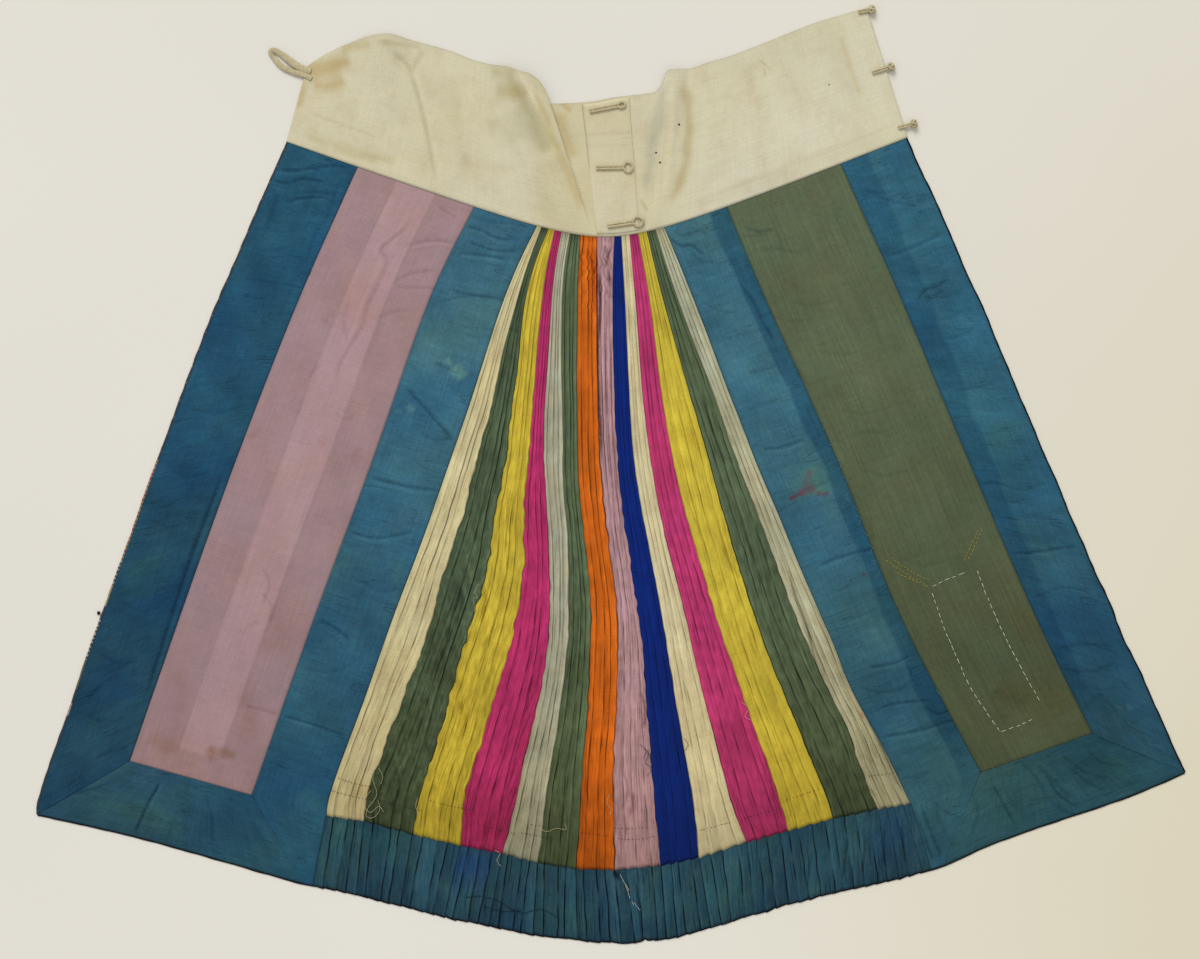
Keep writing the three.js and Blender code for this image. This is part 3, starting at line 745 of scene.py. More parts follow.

# Creases, stains and broad tones: points in the photograph, width mm, rise mm, tint or shade
# Tints for creases and ridges: painted shade in a trough, painted highlight on a ridge.
DEEP_CREASE_SHADE = (0.60, 0.65, 0.71)
SOFT_CREASE_SHADE = (0.78, 0.82, 0.86)
FAINT_CREASE_SHADE = (0.88, 0.90, 0.92)
RIDGE_HIGHLIGHT = (1.16, 1.13, 1.08)
# The tint of a mark that sinks is painted shade, and of a mark that rises painted highlight.
PANEL_MARKS = {
    "outer_band_left": [
        ([(227, 460), (211, 504), (192, 554), (169, 623), (146, 695), (140, 712)],
         1.8, -1.0, (0.45, 0.50, 0.56)),
        ([(232, 462), (216, 506), (197, 556), (174, 625), (151, 697)], 2.4, 0.6, RIDGE_HIGHLIGHT),
        ([(236, 470), (205, 550), (182, 625), (160, 700)], 7.0, 0.0, (1.08, 1.07, 1.04)),
        ([(275, 169), (292, 171), (315, 168), (335, 166), (352, 169)], 1.7, -0.9, DEEP_CREASE_SHADE),
        ([(276, 173), (293, 175), (316, 172)], 2.2, 0.6, RIDGE_HIGHLIGHT),
        ([(269, 179), (286, 183), (306, 179), (327, 183)], 1.8, -0.8, DEEP_CREASE_SHADE),
        ([(292, 194), (315, 193), (339, 195)], 1.7, -0.8, SOFT_CREASE_SHADE),
        ([(286, 202), (306, 198), (327, 197)], 1.7, -0.8, DEEP_CREASE_SHADE),
        ([(288, 206), (308, 202), (328, 201)], 2.2, 0.5, RIDGE_HIGHLIGHT),
        ([(278, 192), (273, 212), (263, 237)], 2.4, -0.5, SOFT_CREASE_SHADE),
        ([(339, 179), (331, 208), (315, 237), (306, 266)], 2.0, -0.6, SOFT_CREASE_SHADE),
        ([(344, 182), (336, 210), (320, 240)], 3.0, 0.4, (1.10, 1.08, 1.05)),
        ([(325, 253), (308, 286), (300, 303)], 1.6, -0.8, DEEP_CREASE_SHADE),
        ([(232, 280), (265, 282), (302, 288)], 1.6, -0.6, SOFT_CREASE_SHADE),
        ([(246, 246), (270, 252), (296, 246)], 1.6, -0.5, FAINT_CREASE_SHADE),
        ([(205, 350), (240, 362), (272, 356)], 1.8, -0.5, FAINT_CREASE_SHADE),
        ([(300, 330), (284, 372), (262, 430), (240, 470)], 2.4, -0.6, SOFT_CREASE_SHADE),
        ([(190, 408), (215, 414), (246, 405)], 1.6, -0.6, SOFT_CREASE_SHADE),
        ([(165, 468), (190, 478), (214, 470)], 1.6, -0.5, FAINT_CREASE_SHADE),
        ([(150, 520), (170, 528), (188, 522)], 1.6, -0.5, SOFT_CREASE_SHADE),
        ([(136, 500), (150, 504), (166, 500)], 1.6, -0.5, FAINT_CREASE_SHADE),
        ([(120, 600), (142, 612), (160, 606)], 1.6, -0.5, FAINT_CREASE_SHADE),
        ([(98, 652), (120, 664), (140, 660)], 1.6, -0.6, SOFT_CREASE_SHADE),
        ([(88, 700), (96, 690), (104, 684)], 1.6, -0.6, DEEP_CREASE_SHADE),
        ([(84, 712), (104, 722), (128, 716)], 1.8, -0.5, SOFT_CREASE_SHADE),
        ([(95, 759), (112, 752), (130, 746)], 2.0, -0.6, SOFT_CREASE_SHADE),
        ([(135, 556), (148, 600)], 26.0, 0.0, (1.2, 1.13, 0.90)),
        ([(108, 655), (118, 705)], 28.0, 0.0, (0.84, 0.92, 1.07)),
    ],
    "hem_band_left": [
        ([(160, 780), (156, 790), (149, 802), (134, 834)], 1.4, -1.0, (0.34, 0.38, 0.44)),
        ([(165, 782), (160, 792), (153, 804), (139, 836)], 2.2, 0.6, RIDGE_HIGHLIGHT),
        ([(128, 762), (80, 789), (40, 812)], 1.4, -0.4, FAINT_CREASE_SHADE),
        ([(205, 790), (212, 820), (210, 850)], 2.0, -0.5, SOFT_CREASE_SHADE),
        ([(255, 795), (272, 826), (290, 856), (305, 880)], 1.3, -0.5, SOFT_CREASE_SHADE),
        ([(240, 800), (258, 832), (276, 864)], 2.0, -0.4, FAINT_CREASE_SHADE),
        ([(95, 800), (120, 806), (150, 802)], 4.0, 0.4, (1.10, 1.09, 1.0)),
        ([(70, 796), (96, 788), (118, 780)], 1.8, -0.5, SOFT_CREASE_SHADE),
        ([(180, 806), (186, 822), (182, 842)], 2.0, -0.5, FAINT_CREASE_SHADE),
        ([(70, 800), (130, 812), (190, 826)], 13.0, 0.0, (1.18, 1.15, 0.94)),
    ],
    "pink_panel": [
        ([(413, 212), (405, 229), (382, 249), (387, 262), (378, 286), (368, 307), (362, 328), (347, 352),
          (339, 369), (337, 394)], 1.9, -0.9, (0.86, 0.83, 0.86)),
        ([(408, 214), (399, 230), (376, 250), (380, 264), (371, 287), (361, 309), (354, 330), (341, 352)],
         2.6, 0.6, 1.07),
        ([(438, 206), (446, 212), (457, 218)], 1.4, -0.5, (0.84, 0.80, 0.84)),
        ([(405, 247), (430, 241), (454, 243)], 1.8, -0.7, (0.84, 0.81, 0.84)),
        ([(405, 251), (430, 245), (454, 247)], 2.0, 0.5, 1.05),
        ([(393, 286), (400, 279), (413, 274), (438, 270)], 1.8, -0.7, (0.85, 0.82, 0.85)),
        ([(393, 288), (417, 288), (438, 290)], 1.6, -0.6, (0.88, 0.86, 0.88)),
        ([(375, 320), (396, 312), (418, 312)], 1.6, -0.5, (0.91, 0.89, 0.91)),
        ([(350, 300), (344, 324), (350, 346)], 1.8, -0.5, (0.90, 0.88, 0.90)),
        ([(312, 240), (308, 262), (312, 280)], 2.4, -0.4, (0.93, 0.92, 0.93)),
        ([(300, 392), (310, 376), (322, 364)], 1.6, -0.4, (0.91, 0.89, 0.91)),
        ([(335, 412), (345, 420), (356, 414)], 1.8, -0.4, (0.92, 0.90, 0.92)),
        ([(262, 566), (270, 586), (262, 606)], 1.6, -0.5, (0.88, 0.85, 0.88)),
        ([(262, 592), (272, 608), (268, 624)], 1.4, -0.5, (0.86, 0.83, 0.87)),
        ([(278, 600), (272, 620), (262, 640)], 1.6, -0.5, (0.90, 0.87, 0.90)),
        ([(240, 636), (250, 626), (262, 622)], 1.6, -0.4, (0.92, 0.90, 0.92)),
        ([(242, 705), (262, 710), (281, 715)], 1.5, -0.6, (0.84, 0.81, 0.84)),
        ([(205, 757), (222, 752), (237, 758)], 6.0, 0.0, (0.80, 0.72, 0.58)),
        ([(210, 752), (214, 745)], 3.0, 0.0, (0.80, 0.72, 0.58)),
        ([(150, 735), (165, 745), (180, 748)], 8.0, 0.0, (0.91, 0.85, 0.76)),
        ([(262, 640), (275, 650)], 9.0, 0.0, (0.95, 0.92, 0.88)),
        ([(250, 432), (256, 438)], 7.0, 0.0, (0.94, 0.90, 0.85)),
        ([(318, 440), (326, 446)], 7.0, 0.0, (0.93, 0.89, 0.84)),
        ([(352, 450), (360, 462)], 8.0, 0.0, (0.92, 0.87, 0.82)),
        ([(175, 670), (185, 690), (178, 715)], 8.0, 0.0, (0.94, 0.91, 0.86)),
        ([(240, 690), (250, 720), (236, 740)], 9.0, 0.0, (0.94, 0.90, 0.84)),
    ],
    "inner_band_left": [
        ([(470, 216), (490, 222), (512, 224)], 1.6, -0.7, SOFT_CREASE_SHADE),
        ([(463, 226), (480, 230), (500, 239), (520, 238)], 1.6, -0.9, DEEP_CREASE_SHADE),
        ([(466, 231), (482, 235), (500, 244)], 2.2, 0.6, RIDGE_HIGHLIGHT),
        ([(466, 241), (484, 248), (500, 251), (520, 251)], 1.6, -0.9, DEEP_CREASE_SHADE),
        ([(457, 253), (487, 256), (508, 260)], 1.6, -0.8, DEEP_CREASE_SHADE),
        ([(458, 257), (487, 260), (508, 264)], 2.2, 0.5, RIDGE_HIGHLIGHT),
        ([(444, 288), (471, 295), (500, 299), (511, 303)], 1.6, -0.9, DEEP_CREASE_SHADE),
        ([(434, 304), (463, 297), (496, 297)], 1.6, -0.7, SOFT_CREASE_SHADE),
        ([(452, 330), (478, 338), (500, 336)], 1.6, -0.5, FAINT_CREASE_SHADE),
        ([(405, 387), (430, 414), (455, 443)], 1.7, -0.9, DEEP_CREASE_SHADE),
        ([(409, 384), (434, 411), (458, 438)], 2.4, 0.5, RIDGE_HIGHLIGHT),
        ([(420, 432), (436, 440), (455, 438)], 1.6, -0.5, SOFT_CREASE_SHADE),
        ([(368, 477), (405, 486), (442, 491)], 1.6, -1.0, DEEP_CREASE_SHADE),
        ([(369, 481), (405, 490), (441, 495)], 2.4, 0.6, RIDGE_HIGHLIGHT),
        ([(348, 531), (376, 538), (417, 531)], 1.6, -0.9, DEEP_CREASE_SHADE),
        ([(350, 535), (377, 542), (417, 535)], 2.4, 0.5, RIDGE_HIGHLIGHT),
        ([(340, 548), (366, 546), (392, 550)], 1.6, -0.5, FAINT_CREASE_SHADE),
        ([(360, 580), (380, 592), (400, 588)], 1.6, -0.6, SOFT_CREASE_SHADE),
        ([(318, 619), (337, 629), (352, 642)], 1.6, -0.9, DEEP_CREASE_SHADE),
        ([(316, 624), (334, 634), (348, 646)], 2.2, 0.5, RIDGE_HIGHLIGHT),
        ([(300, 668), (330, 672), (352, 664)], 1.6, -0.5, SOFT_CREASE_SHADE),
        ([(281, 715), (311, 724), (348, 737)], 1.6, -1.0, DEEP_CREASE_SHADE),
        ([(281, 719), (311, 728), (347, 741)], 2.4, 0.6, RIDGE_HIGHLIGHT),
        ([(268, 760), (296, 774), (326, 778)], 1.8, -0.5, FAINT_CREASE_SHADE),
        ([(446, 358), (452, 366)], 4.0, 0.0, (2.0, 1.55, 1.15)),
        ([(452, 366), (458, 372), (464, 379)], 6.5, 0.0, (2.3, 1.7, 1.15)),
        ([(395, 413), (402, 410)], 3.0, 0.0, (1.6, 1.35, 1.1)),
        ([(408, 404), (413, 412)], 4.0, 0.0, (1.8, 1.45, 1.1)),
        ([(388, 572), (400, 560), (392, 584)], 7.0, 0.0, (1.3, 1.18, 0.98)),
        ([(300, 790), (310, 800), (316, 812)], 9.0, 0.0, (1.35, 1.2, 0.95)),
    ],
    "inner_band_right": [
        ([(668, 236), (680, 246), (692, 246), (706, 258)], 1.6, -0.9, DEEP_CREASE_SHADE),
        ([(672, 232), (686, 236), (700, 232), (712, 238)], 1.6, -0.7, SOFT_CREASE_SHADE),
        ([(690, 252), (702, 262), (716, 262)], 1.6, -0.6, SOFT_CREASE_SHADE),
        ([(690, 268), (705, 276), (722, 274)], 1.6, -0.6, FAINT_CREASE_SHADE),
        ([(740, 286), (752, 300), (762, 322), (776, 344)], 1.8, -0.8, DEEP_CREASE_SHADE),
        ([(745, 284), (757, 298), (767, 318)], 2.6, 0.6, RIDGE_HIGHLIGHT),
        ([(700, 300), (722, 312), (742, 312)], 1.6, -0.5, SOFT_CREASE_SHADE),
        ([(724, 340), (748, 334), (764, 330)], 1.6, -0.5, FAINT_CREASE_SHADE),
        ([(740, 400), (764, 404), (784, 396)], 1.6, -0.5, FAINT_CREASE_SHADE),
        ([(761, 449), (784, 447), (806, 438)], 1.5, -0.8, DEEP_CREASE_SHADE),
        ([(762, 453), (785, 451), (807, 442)], 2.2, 0.5, RIDGE_HIGHLIGHT),
        ([(806, 404), (812, 420), (822, 440)], 1.6, -0.6, SOFT_CREASE_SHADE),
        ([(816, 567), (832, 560), (850, 554), (880, 548)], 1.6, -0.9, DEEP_CREASE_SHADE),
        ([(817, 571), (833, 564), (851, 558)], 2.2, 0.5, RIDGE_HIGHLIGHT),
        ([(840, 620), (862, 616), (880, 606)], 1.6, -0.5, SOFT_CREASE_SHADE),
        ([(866, 668), (894, 663), (912, 654)], 1.6, -0.9, DEEP_CREASE_SHADE),
        ([(867, 672), (895, 667), (913, 658)], 2.2, 0.5, RIDGE_HIGHLIGHT),
        ([(857, 686), (876, 692), (898, 690), (917, 677)], 1.6, -0.6, SOFT_CREASE_SHADE),
        ([(876, 709), (898, 703), (935, 700)], 1.6, -0.9, DEEP_CREASE_SHADE),
        ([(880, 737), (912, 732), (940, 724), (960, 717)], 1.6, -1.0, DEEP_CREASE_SHADE),
        ([(881, 741), (913, 736), (941, 728), (960, 722)], 2.4, 0.6, RIDGE_HIGHLIGHT),
        ([(926, 706), (938, 714), (952, 708)], 1.6, -0.7, DEEP_CREASE_SHADE),
        ([(900, 780), (916, 776), (931, 771)], 1.6, -0.6, SOFT_CREASE_SHADE),
        ([(930, 800), (946, 812), (960, 818)], 1.8, -0.5, SOFT_CREASE_SHADE),
        ([(980, 775), (971, 800), (962, 827), (949, 850)], 1.5, -0.5, SOFT_CREASE_SHADE),
        ([(922, 806), (930, 830), (942, 858)], 1.4, -0.8, DEEP_CREASE_SHADE),
        ([(934, 806), (942, 826), (952, 846)], 1.4, -0.6, SOFT_CREASE_SHADE),
        ([(918, 818), (926, 842), (934, 862)], 1.4, -0.7, DEEP_CREASE_SHADE),
        ([(924, 806), (936, 836), (944, 860)], 18.0, 0.0, (0.82, 0.84, 0.86)),
        ([(806, 466), (816, 480), (822, 496)], 18.0, 0.0, (1.30, 1.12, 0.80)),
        ([(788, 500), (796, 496), (804, 491)], 2.2, 0.0, (2.2, 0.36, 0.36)),
        ([(799, 494), (808, 488), (817, 491)], 4.5, 0.0, (1.75, 0.58, 0.60)),
        ([(804, 486), (808, 477), (811, 469)], 3.2, 0.0, (1.55, 0.68, 0.72)),
        ([(816, 492), (824, 494), (829, 492)], 2.6, 0.0, (2.0, 0.46, 0.48)),
        ([(862, 573), (865, 576)], 2.4, 0.0, (1.9, 0.45, 0.42)),
        ([(870, 533), (872, 536)], 2.0, 0.0, (0.55, 0.42, 0.36)),
    ],
    "green_panel": [
        ([(745, 228), (760, 232), (776, 229)], 1.8, -0.7, (0.70, 0.72, 0.74)),
        ([(742, 236), (756, 236), (770, 234)], 1.6, -0.5, (0.82, 0.83, 0.84)),
        ([(776, 232), (782, 246), (784, 262)], 1.8, -0.5, (0.86, 0.87, 0.88)),
        ([(758, 252), (780, 250), (806, 256)], 2.0, -0.5, (0.88, 0.89, 0.90)),
        ([(790, 300), (812, 306), (836, 300)], 1.8, -0.5, 0.88),
        ([(770, 316), (796, 322), (816, 318)], 1.8, -0.5, 0.90),
        ([(792, 366), (802, 376), (812, 390)], 1.8, -0.6, 0.84),
        ([(815, 350), (842, 356), (866, 350)], 1.8, -0.4, 0.92),
        ([(836, 410), (864, 414), (890, 408)], 1.8, -0.4, 0.91),
        ([(846, 436), (872, 432), (896, 438)], 1.8, -0.4, 0.92),
        ([(860, 470), (885, 476), (910, 470)], 1.8, -0.4, 0.90),
        ([(868, 516), (872, 534), (870, 552)], 1.6, -0.4, (0.86, 0.84, 0.82)),
        ([(900, 560), (925, 566), (948, 560)], 1.8, -0.4, 0.92),
        ([(990, 690), (1030, 700), (1070, 712)], 16.0, 0.0, (1.02, 0.94, 0.82)),
        ([(1010, 610), (1024, 622), (1030, 640)], 12.0, 0.0, (1.02, 0.93, 0.84)),
        ([(990, 690), (1010, 700), (1030, 706)], 12.0, 0.0, (0.82, 0.80, 0.80)),
        ([(930, 620), (960, 650), (990, 670)], 20.0, 0.0, (0.98, 0.98, 0.92)),
        ([(820, 330), (850, 420)], 20.0, 0.0, (1.04, 1.04, 1.0)),
        ([(780, 260), (800, 320)], 16.0, 0.0, (0.95, 0.94, 0.93)),
    ],
    "outer_band_right": [
        ([(874, 196), (897, 203), (921, 208)], 1.6, -0.7, SOFT_CREASE_SHADE),
        ([(919, 210), (922, 214)], 2.2, 0.0, (0.5, 0.55, 0.62)),
        ([(885, 258), (914, 247), (948, 231)], 1.6, -0.8, SOFT_CREASE_SHADE),
        ([(886, 262), (915, 251), (948, 235)], 2.2, 0.5, RIDGE_HIGHLIGHT),
        ([(862, 190), (880, 194), (896, 190)], 1.6, -0.6, SOFT_CREASE_SHADE),
        ([(916, 302), (926, 290), (938, 286), (948, 278)], 1.7, -0.9, DEEP_CREASE_SHADE),
        ([(924, 304), (936, 296), (946, 288)], 1.6, -0.7, SOFT_CREASE_SHADE),
        ([(906, 276), (926, 272), (944, 264)], 1.6, -0.5, FAINT_CREASE_SHADE),
        ([(930, 322), (946, 320), (964, 310)], 1.6, -0.5, FAINT_CREASE_SHADE),
        ([(944, 340), (960, 336), (976, 327)], 1.6, -0.7, SOFT_CREASE_SHADE),
        ([(954, 391), (976, 388), (999, 382)], 1.6, -0.7, SOFT_CREASE_SHADE),
        ([(968, 430), (992, 434), (1014, 426)], 1.6, -0.6, FAINT_CREASE_SHADE),
        ([(976, 487), (994, 483), (1021, 490), (1050, 481)], 1.6, -0.8, SOFT_CREASE_SHADE),
        ([(990, 510), (1016, 520), (1044, 512)], 1.6, -0.5, FAINT_CREASE_SHADE),
        ([(1008, 554), (1035, 552), (1072, 547), (1083, 549)], 1.6, -0.9, DEEP_CREASE_SHADE),
        ([(1009, 558), (1036, 556), (1072, 551)], 2.2, 0.5, RIDGE_HIGHLIGHT),
        ([(1030, 600), (1060, 588), (1092, 592)], 1.6, -0.6, SOFT_CREASE_SHADE),
        ([(1053, 650), (1081, 645), (1117, 647)], 1.6, -0.8, SOFT_CREASE_SHADE),
        ([(1062, 668), (1090, 672), (1120, 660)], 1.6, -0.6, SOFT_CREASE_SHADE),
        ([(1081, 713), (1099, 695), (1110, 706), (1122, 713)], 1.6, -0.7, SOFT_CREASE_SHADE),
        ([(1074, 680), (1098, 690), (1124, 686)], 1.6, -0.5, FAINT_CREASE_SHADE),
        ([(1126, 704), (1132, 710)], 2.6, 0.0, (2.0, 1.6, 1.3)),
        ([(1114, 706), (1122, 708)], 1.6, 0.0, (1.6, 1.4, 1.2)),
        ([(980, 425), (1002, 468), (1024, 505)], 42.0, 0.0, (0.93, 0.93, 0.82)),
        ([(1050, 600), (1080, 650)], 26.0, 0.0, (0.88, 0.95, 1.06)),
        ([(1060, 600), (1090, 690)], 8.0, 0.3, (1.12, 1.08, 1.03)),
    ],
    "hem_band_right": [
        ([(1088, 734), (1134, 752), (1180, 768)], 1.4, -0.4, SOFT_CREASE_SHADE),
        ([(1017, 759), (1035, 777), (1053, 804), (1081, 818)], 1.8, -0.7, SOFT_CREASE_SHADE),
        ([(1035, 763), (1054, 782), (1072, 800)], 1.8, -0.6, SOFT_CREASE_SHADE),
        ([(1039, 761), (1058, 780), (1076, 798)], 2.4, 0.5, RIDGE_HIGHLIGHT),
        ([(1000, 770), (1010, 800), (1030, 822)], 1.8, -0.5, FAINT_CREASE_SHADE),
        ([(1060, 752), (1080, 770), (1110, 780)], 1.8, -0.6, SOFT_CREASE_SHADE),
        ([(1084, 746), (1100, 762), (1120, 766)], 1.8, -0.6, SOFT_CREASE_SHADE),
        ([(1100, 750), (1110, 768), (1120, 782)], 1.8, -0.5, FAINT_CREASE_SHADE),
        ([(1130, 762), (1136, 774)], 1.8, -0.5, FAINT_CREASE_SHADE),
        ([(1104, 764), (1132, 772)], 12.0, 0.0, (1.16, 1.14, 1.0)),
        ([(992, 784), (1002, 802), (1016, 826)], 1.6, -0.7, DEEP_CREASE_SHADE),
        ([(1044, 772), (1060, 796), (1080, 808)], 1.6, -0.6, DEEP_CREASE_SHADE),
        ([(1066, 764), (1092, 786), (1108, 790)], 1.6, -0.6, SOFT_CREASE_SHADE),
        ([(970, 790), (978, 812), (970, 838)], 2.0, -0.6, SOFT_CREASE_SHADE),
        ([(990, 812), (1006, 820), (1024, 816)], 9.0, 0.0, (1.10, 1.10, 1.0)),
    ],
}


def seam_distance(u, v, width, length, mitre):
    """Millimetres to the nearest sewn side of a panel. Its mitres are pressed flat, so they don't count."""
    far = 60
    sides = [u * width, (1 - u) * width, v * length, (1 - v) * length]
    if mitre == "ends":
        sides[:2] = [far + sides[0], far + sides[1]]
    elif mitre == "foot":
        sides[3] = far + sides[3]
    elif mitre:
        side = ("left", "right").index(mitre)
        sides[side] = sides[side] + far * smooth(LONG_SHARE - 0.01, LONG_SHARE + 0.01, v)
    return np.minimum.reduce(sides)


def panel(made, name, slot, curves, size, seed, paint, counts=(40, 480), mitre=None):
    """A panel or one band of its frame. curves are its top, bottom, left and right ones."""
    width, length = size
    across = np.linspace(0, 1, counts[0] + 1)
    down = np.linspace(0, 1, counts[1] + 1)
    plan = four_sided(*curves, across, down)
    x, y = plan[..., 0], plan[..., 1]
    u = across[None] * np.ones_like(x)
    v = down[:, None] * np.ones_like(x)
    sides = seam_distance(u, v, width, length, mitre)
    inside = smooth(0, 14, sides)
    puckers = np.exp(-sides / 9) * np.clip(ripple(x, y, 15, seed + 3), -1, 1) * inside
    height = SILK_TOP - 0.55 * np.exp(-sides / 2.5) + 0.14 * puckers
    height += inside * (0.30 * ripple(x, y, 95, seed) + 0.16 * ripple(x, y, 34, seed + 1)
                        + 0.07 * ripple(x, y, 13, seed + 2))
    # Painted shade beside each sewn side, and painted light and shade on the puckers, with their rise.
    shade = (1 - 0.16 * np.exp(-sides / 1.6)) * (1 + 0.06 * puckers)
    tint = np.repeat(shade[..., None], 3, axis=2)
    mark(x, y, height, tint, PANEL_MARKS[name])
    tint *= paint(u, v, x, y)
    height = np.clip(height, 0.9, 3.2)
    weave = np.dstack([u * width, -v * length, np.zeros_like(u)])
    piece = shell(name, plan, height, np.full_like(height, 0.3), tint, weave, coarse=5)
    dress(piece, made[slot], slot, name)
    cut(piece, plan)


BLUE = (50, 92, 112)
OLIVE = (88, 100, 74)
# The colour of each panel at the waist and at the hem, or for a hem band from end to end
# A panel's darkening from the waist to the hem is painted shade.
PANEL_TONES_AND_SHADE = {
    "outer_band_left": ((33, 78, 104), (29, 65, 86)),
    "inner_band_left": ((57, 102, 121), (32, 75, 99)),
    "hem_band_left": ((41, 75, 89), (35, 76, 96)),
    "inner_band_right": ((57, 102, 119), (44, 82, 94)),
    "outer_band_right": ((47, 95, 117), (34, 73, 94)),
    "hem_band_right": ((41, 76, 83), (33, 70, 84)),
    "green_panel": ((88, 100, 75), (74, 82, 58)),
}


def panel_tone_and_shade(name, base, v):
    """Tint that takes a material's base colour to the panel's colours at the waist and the hem; the darkening
    is painted shade.
    """
    own = np.array(linear(*base)[:3])
    top, low = (np.array(linear(*colour)[:3]) / own for colour in PANEL_TONES_AND_SHADE[name])
    share = smooth(0.15, 1.0, v)[..., None]
    return top + (low - top) * share


def pink_bands(u, v, x, y):
    edge = 0.006
    above_hem = smooth(0.962, 0.955, v)
    centre = smooth(0.335 - edge, 0.335 + edge, u) * smooth(0.665 + edge, 0.665 - edge, u) * above_hem
    third = smooth(0.66, 0.675, u)
    shade = 0.94 + 0.17 * centre - 0.02 * third
    line_dark = np.exp(-((u - 0.335) / 0.008) ** 2) + np.exp(-((u - 0.665) / 0.008) ** 2)
    shade = shade - 0.05 * line_dark * above_hem
    # Darker towards the hem: painted shade, as on the other panels.
    shade = shade * (1 - 0.12 * smooth(0.3, 1.0, v)) + 0.03 * ripple(x, y, 45, 14)
    worn = 0.08 * ripple(x, y, 120, 12) + 0.10 * smooth(0.9, 1.0, v)
    return np.dstack([shade, shade * (1 - 0.4 * worn), shade * (1 - 0.8 * worn)])


def blue_wear_and_shade(name, seed):
    def paint(u, v, x, y):
        shade = (1 + 0.12 * ripple(x, y, 230, seed) + 0.09 * ripple(x, y, 70, seed + 1)
                 + 0.05 * ripple(x, y, 24, seed + 5))
        teal = 0.20 * ripple(x, y, 150, seed + 2)
        own = np.dstack([shade * (1 + teal), shade * (1 + 0.45 * teal), shade * (1 - 0.2 * teal)])
        return own * panel_tone_and_shade(name, BLUE, u if name.startswith("hem") else v)
    return paint


def green_wear_and_shade(u, v, x, y):
    strip = 1 + 0.07 * np.exp(-((u - 0.45) / 0.14) ** 2) + 0.02 * along_ripple(u, 0.11, 5)
    shade = strip * (1 + 0.04 * ripple(x, y, 140, 31) + 0.04 * ripple(x, y, 40, 32))
    brown = 0.04 * ripple(x, y, 110, 33)
    return np.dstack([shade * (1 + brown), shade, shade * (1 - brown)]) * panel_tone_and_shade("green_panel", OLIVE, v)


def seam_strip(from_seam, width, v, seed):
    """1 on the darker strip where a seam's turned edge lies below the silk, 0 off it."""
    edge = width + 0.02 * along_ripple(v, 0.09, seed)
    return smooth(edge + 0.025, edge - 0.025, from_seam)


def inner_right_wear_and_shade(u, v, x, y):
    wear_and_shade = blue_wear_and_shade("inner_band_right", 24)(u, v, x, y)
    width = 0.29 - 0.09 * smooth(0, 0.45, v) + 0.05 * smooth(0.6, 0.75, v)
    strip = seam_strip(1 - u, width, v, 27) * smooth(0.95, 0.8, v)
    return wear_and_shade * (1 - np.array([0.50, 0.34, 0.22]) * strip[..., None])


def outer_right_wear_and_shade(u, v, x, y):
    wear_and_shade = blue_wear_and_shade("outer_band_right", 24)(u, v, x, y)
    strip = seam_strip(u, 0.40 - 0.16 * smooth(0, 0.9, v), v, 28) * smooth(0.97, 0.85, v)
    foot = smooth(0.86, 1.0, v)
    wear_and_shade *= np.dstack([1 + 0.12 * foot, 1 - 0.04 * foot, 1 - 0.14 * foot])
    return 1.05 * wear_and_shade * (1 - np.array([0.30, 0.20, 0.12]) * strip[..., None])


def build_panels(made):
    waist = {name: row[0] for name, row in PANEL_SEAMS.items()}
    corner = {name: row[2] for name, row in PANEL_SEAMS.items()}

    def upright(first, second):
        return (waist_between(waist[first], waist[second]), line(corner[first], corner[second]),
                SEAM[first], SEAM[second])

    def foot(first, second, start, end):
        return (line(corner[first], corner[second]), hem_between(HEM_X[start], HEM_X[end]),
                line(corner[first], hem_point(HEM_X[start])), line(corner[second], hem_point(HEM_X[end])))

    def to_hem(side, low_corner, end):
        return joined(side, line(low_corner, hem_point(HEM_X[end])), LONG_SHARE)

    inner_left = (
        waist_between(waist["pink_right"], STRIP_SEAMS[0][0]),
        hem_between(HEM_X["left_mitre"], HEM_X["pleats_left"]),
        to_hem(SEAM["pink_right"], corner["pink_right"], "left_mitre"),
        to_hem(WAVY_SEAM[0], STRIP_SEAMS[0][2], "pleats_left"),
    )
    inner_right = (
        waist_between(STRIP_SEAMS[-1][0], waist["green_left"]),
        hem_between(HEM_X["pleats_right"], HEM_X["right_mitre"]),
        to_hem(WAVY_SEAM[-1], STRIP_SEAMS[-1][2], "pleats_right"),
        to_hem(SEAM["green_left"], corner["green_left"], "right_mitre"),
    )
    left, right = "left_blue_silk", "right_blue_silk"
    panel(made, "outer_band_left", left, upright("left_edge", "pink_left"), (115, 800), 11,
          blue_wear_and_shade("outer_band_left", 20), mitre="foot")
    panel(made, "pink_panel", "pink_silk", upright("pink_left", "pink_right"), (140, 740), 21,
          pink_bands, counts=(58, 440))
    panel(made, "inner_band_left", left, inner_left, (85, 820), 11,
          blue_wear_and_shade("inner_band_left", 20), counts=(36, 480), mitre="left")
    left_foot = foot("pink_left", "pink_right", "left_corner", "left_mitre")
    panel(made, "hem_band_left", left, left_foot, (220, 100), 11,
          blue_wear_and_shade("hem_band_left", 20), counts=(150, 66), mitre="ends")
    panel(made, "inner_band_right", right, inner_right, (85, 800), 51, inner_right_wear_and_shade, mitre="right")
    panel(made, "green_panel", "olive_silk", upright("green_left", "green_right"), (135, 700), 61,
          green_wear_and_shade, counts=(48, 400))
    panel(made, "outer_band_right", right, upright("green_right", "right_edge"), (100, 760), 51,
          outer_right_wear_and_shade, mitre="foot")
    right_foot = foot("green_left", "green_right", "right_mitre", "right_corner")
    panel(made, "hem_band_right", right, right_foot, (210, 105), 51,
          blue_wear_and_shade("hem_band_right", 24), counts=(150, 66), mitre="ends")


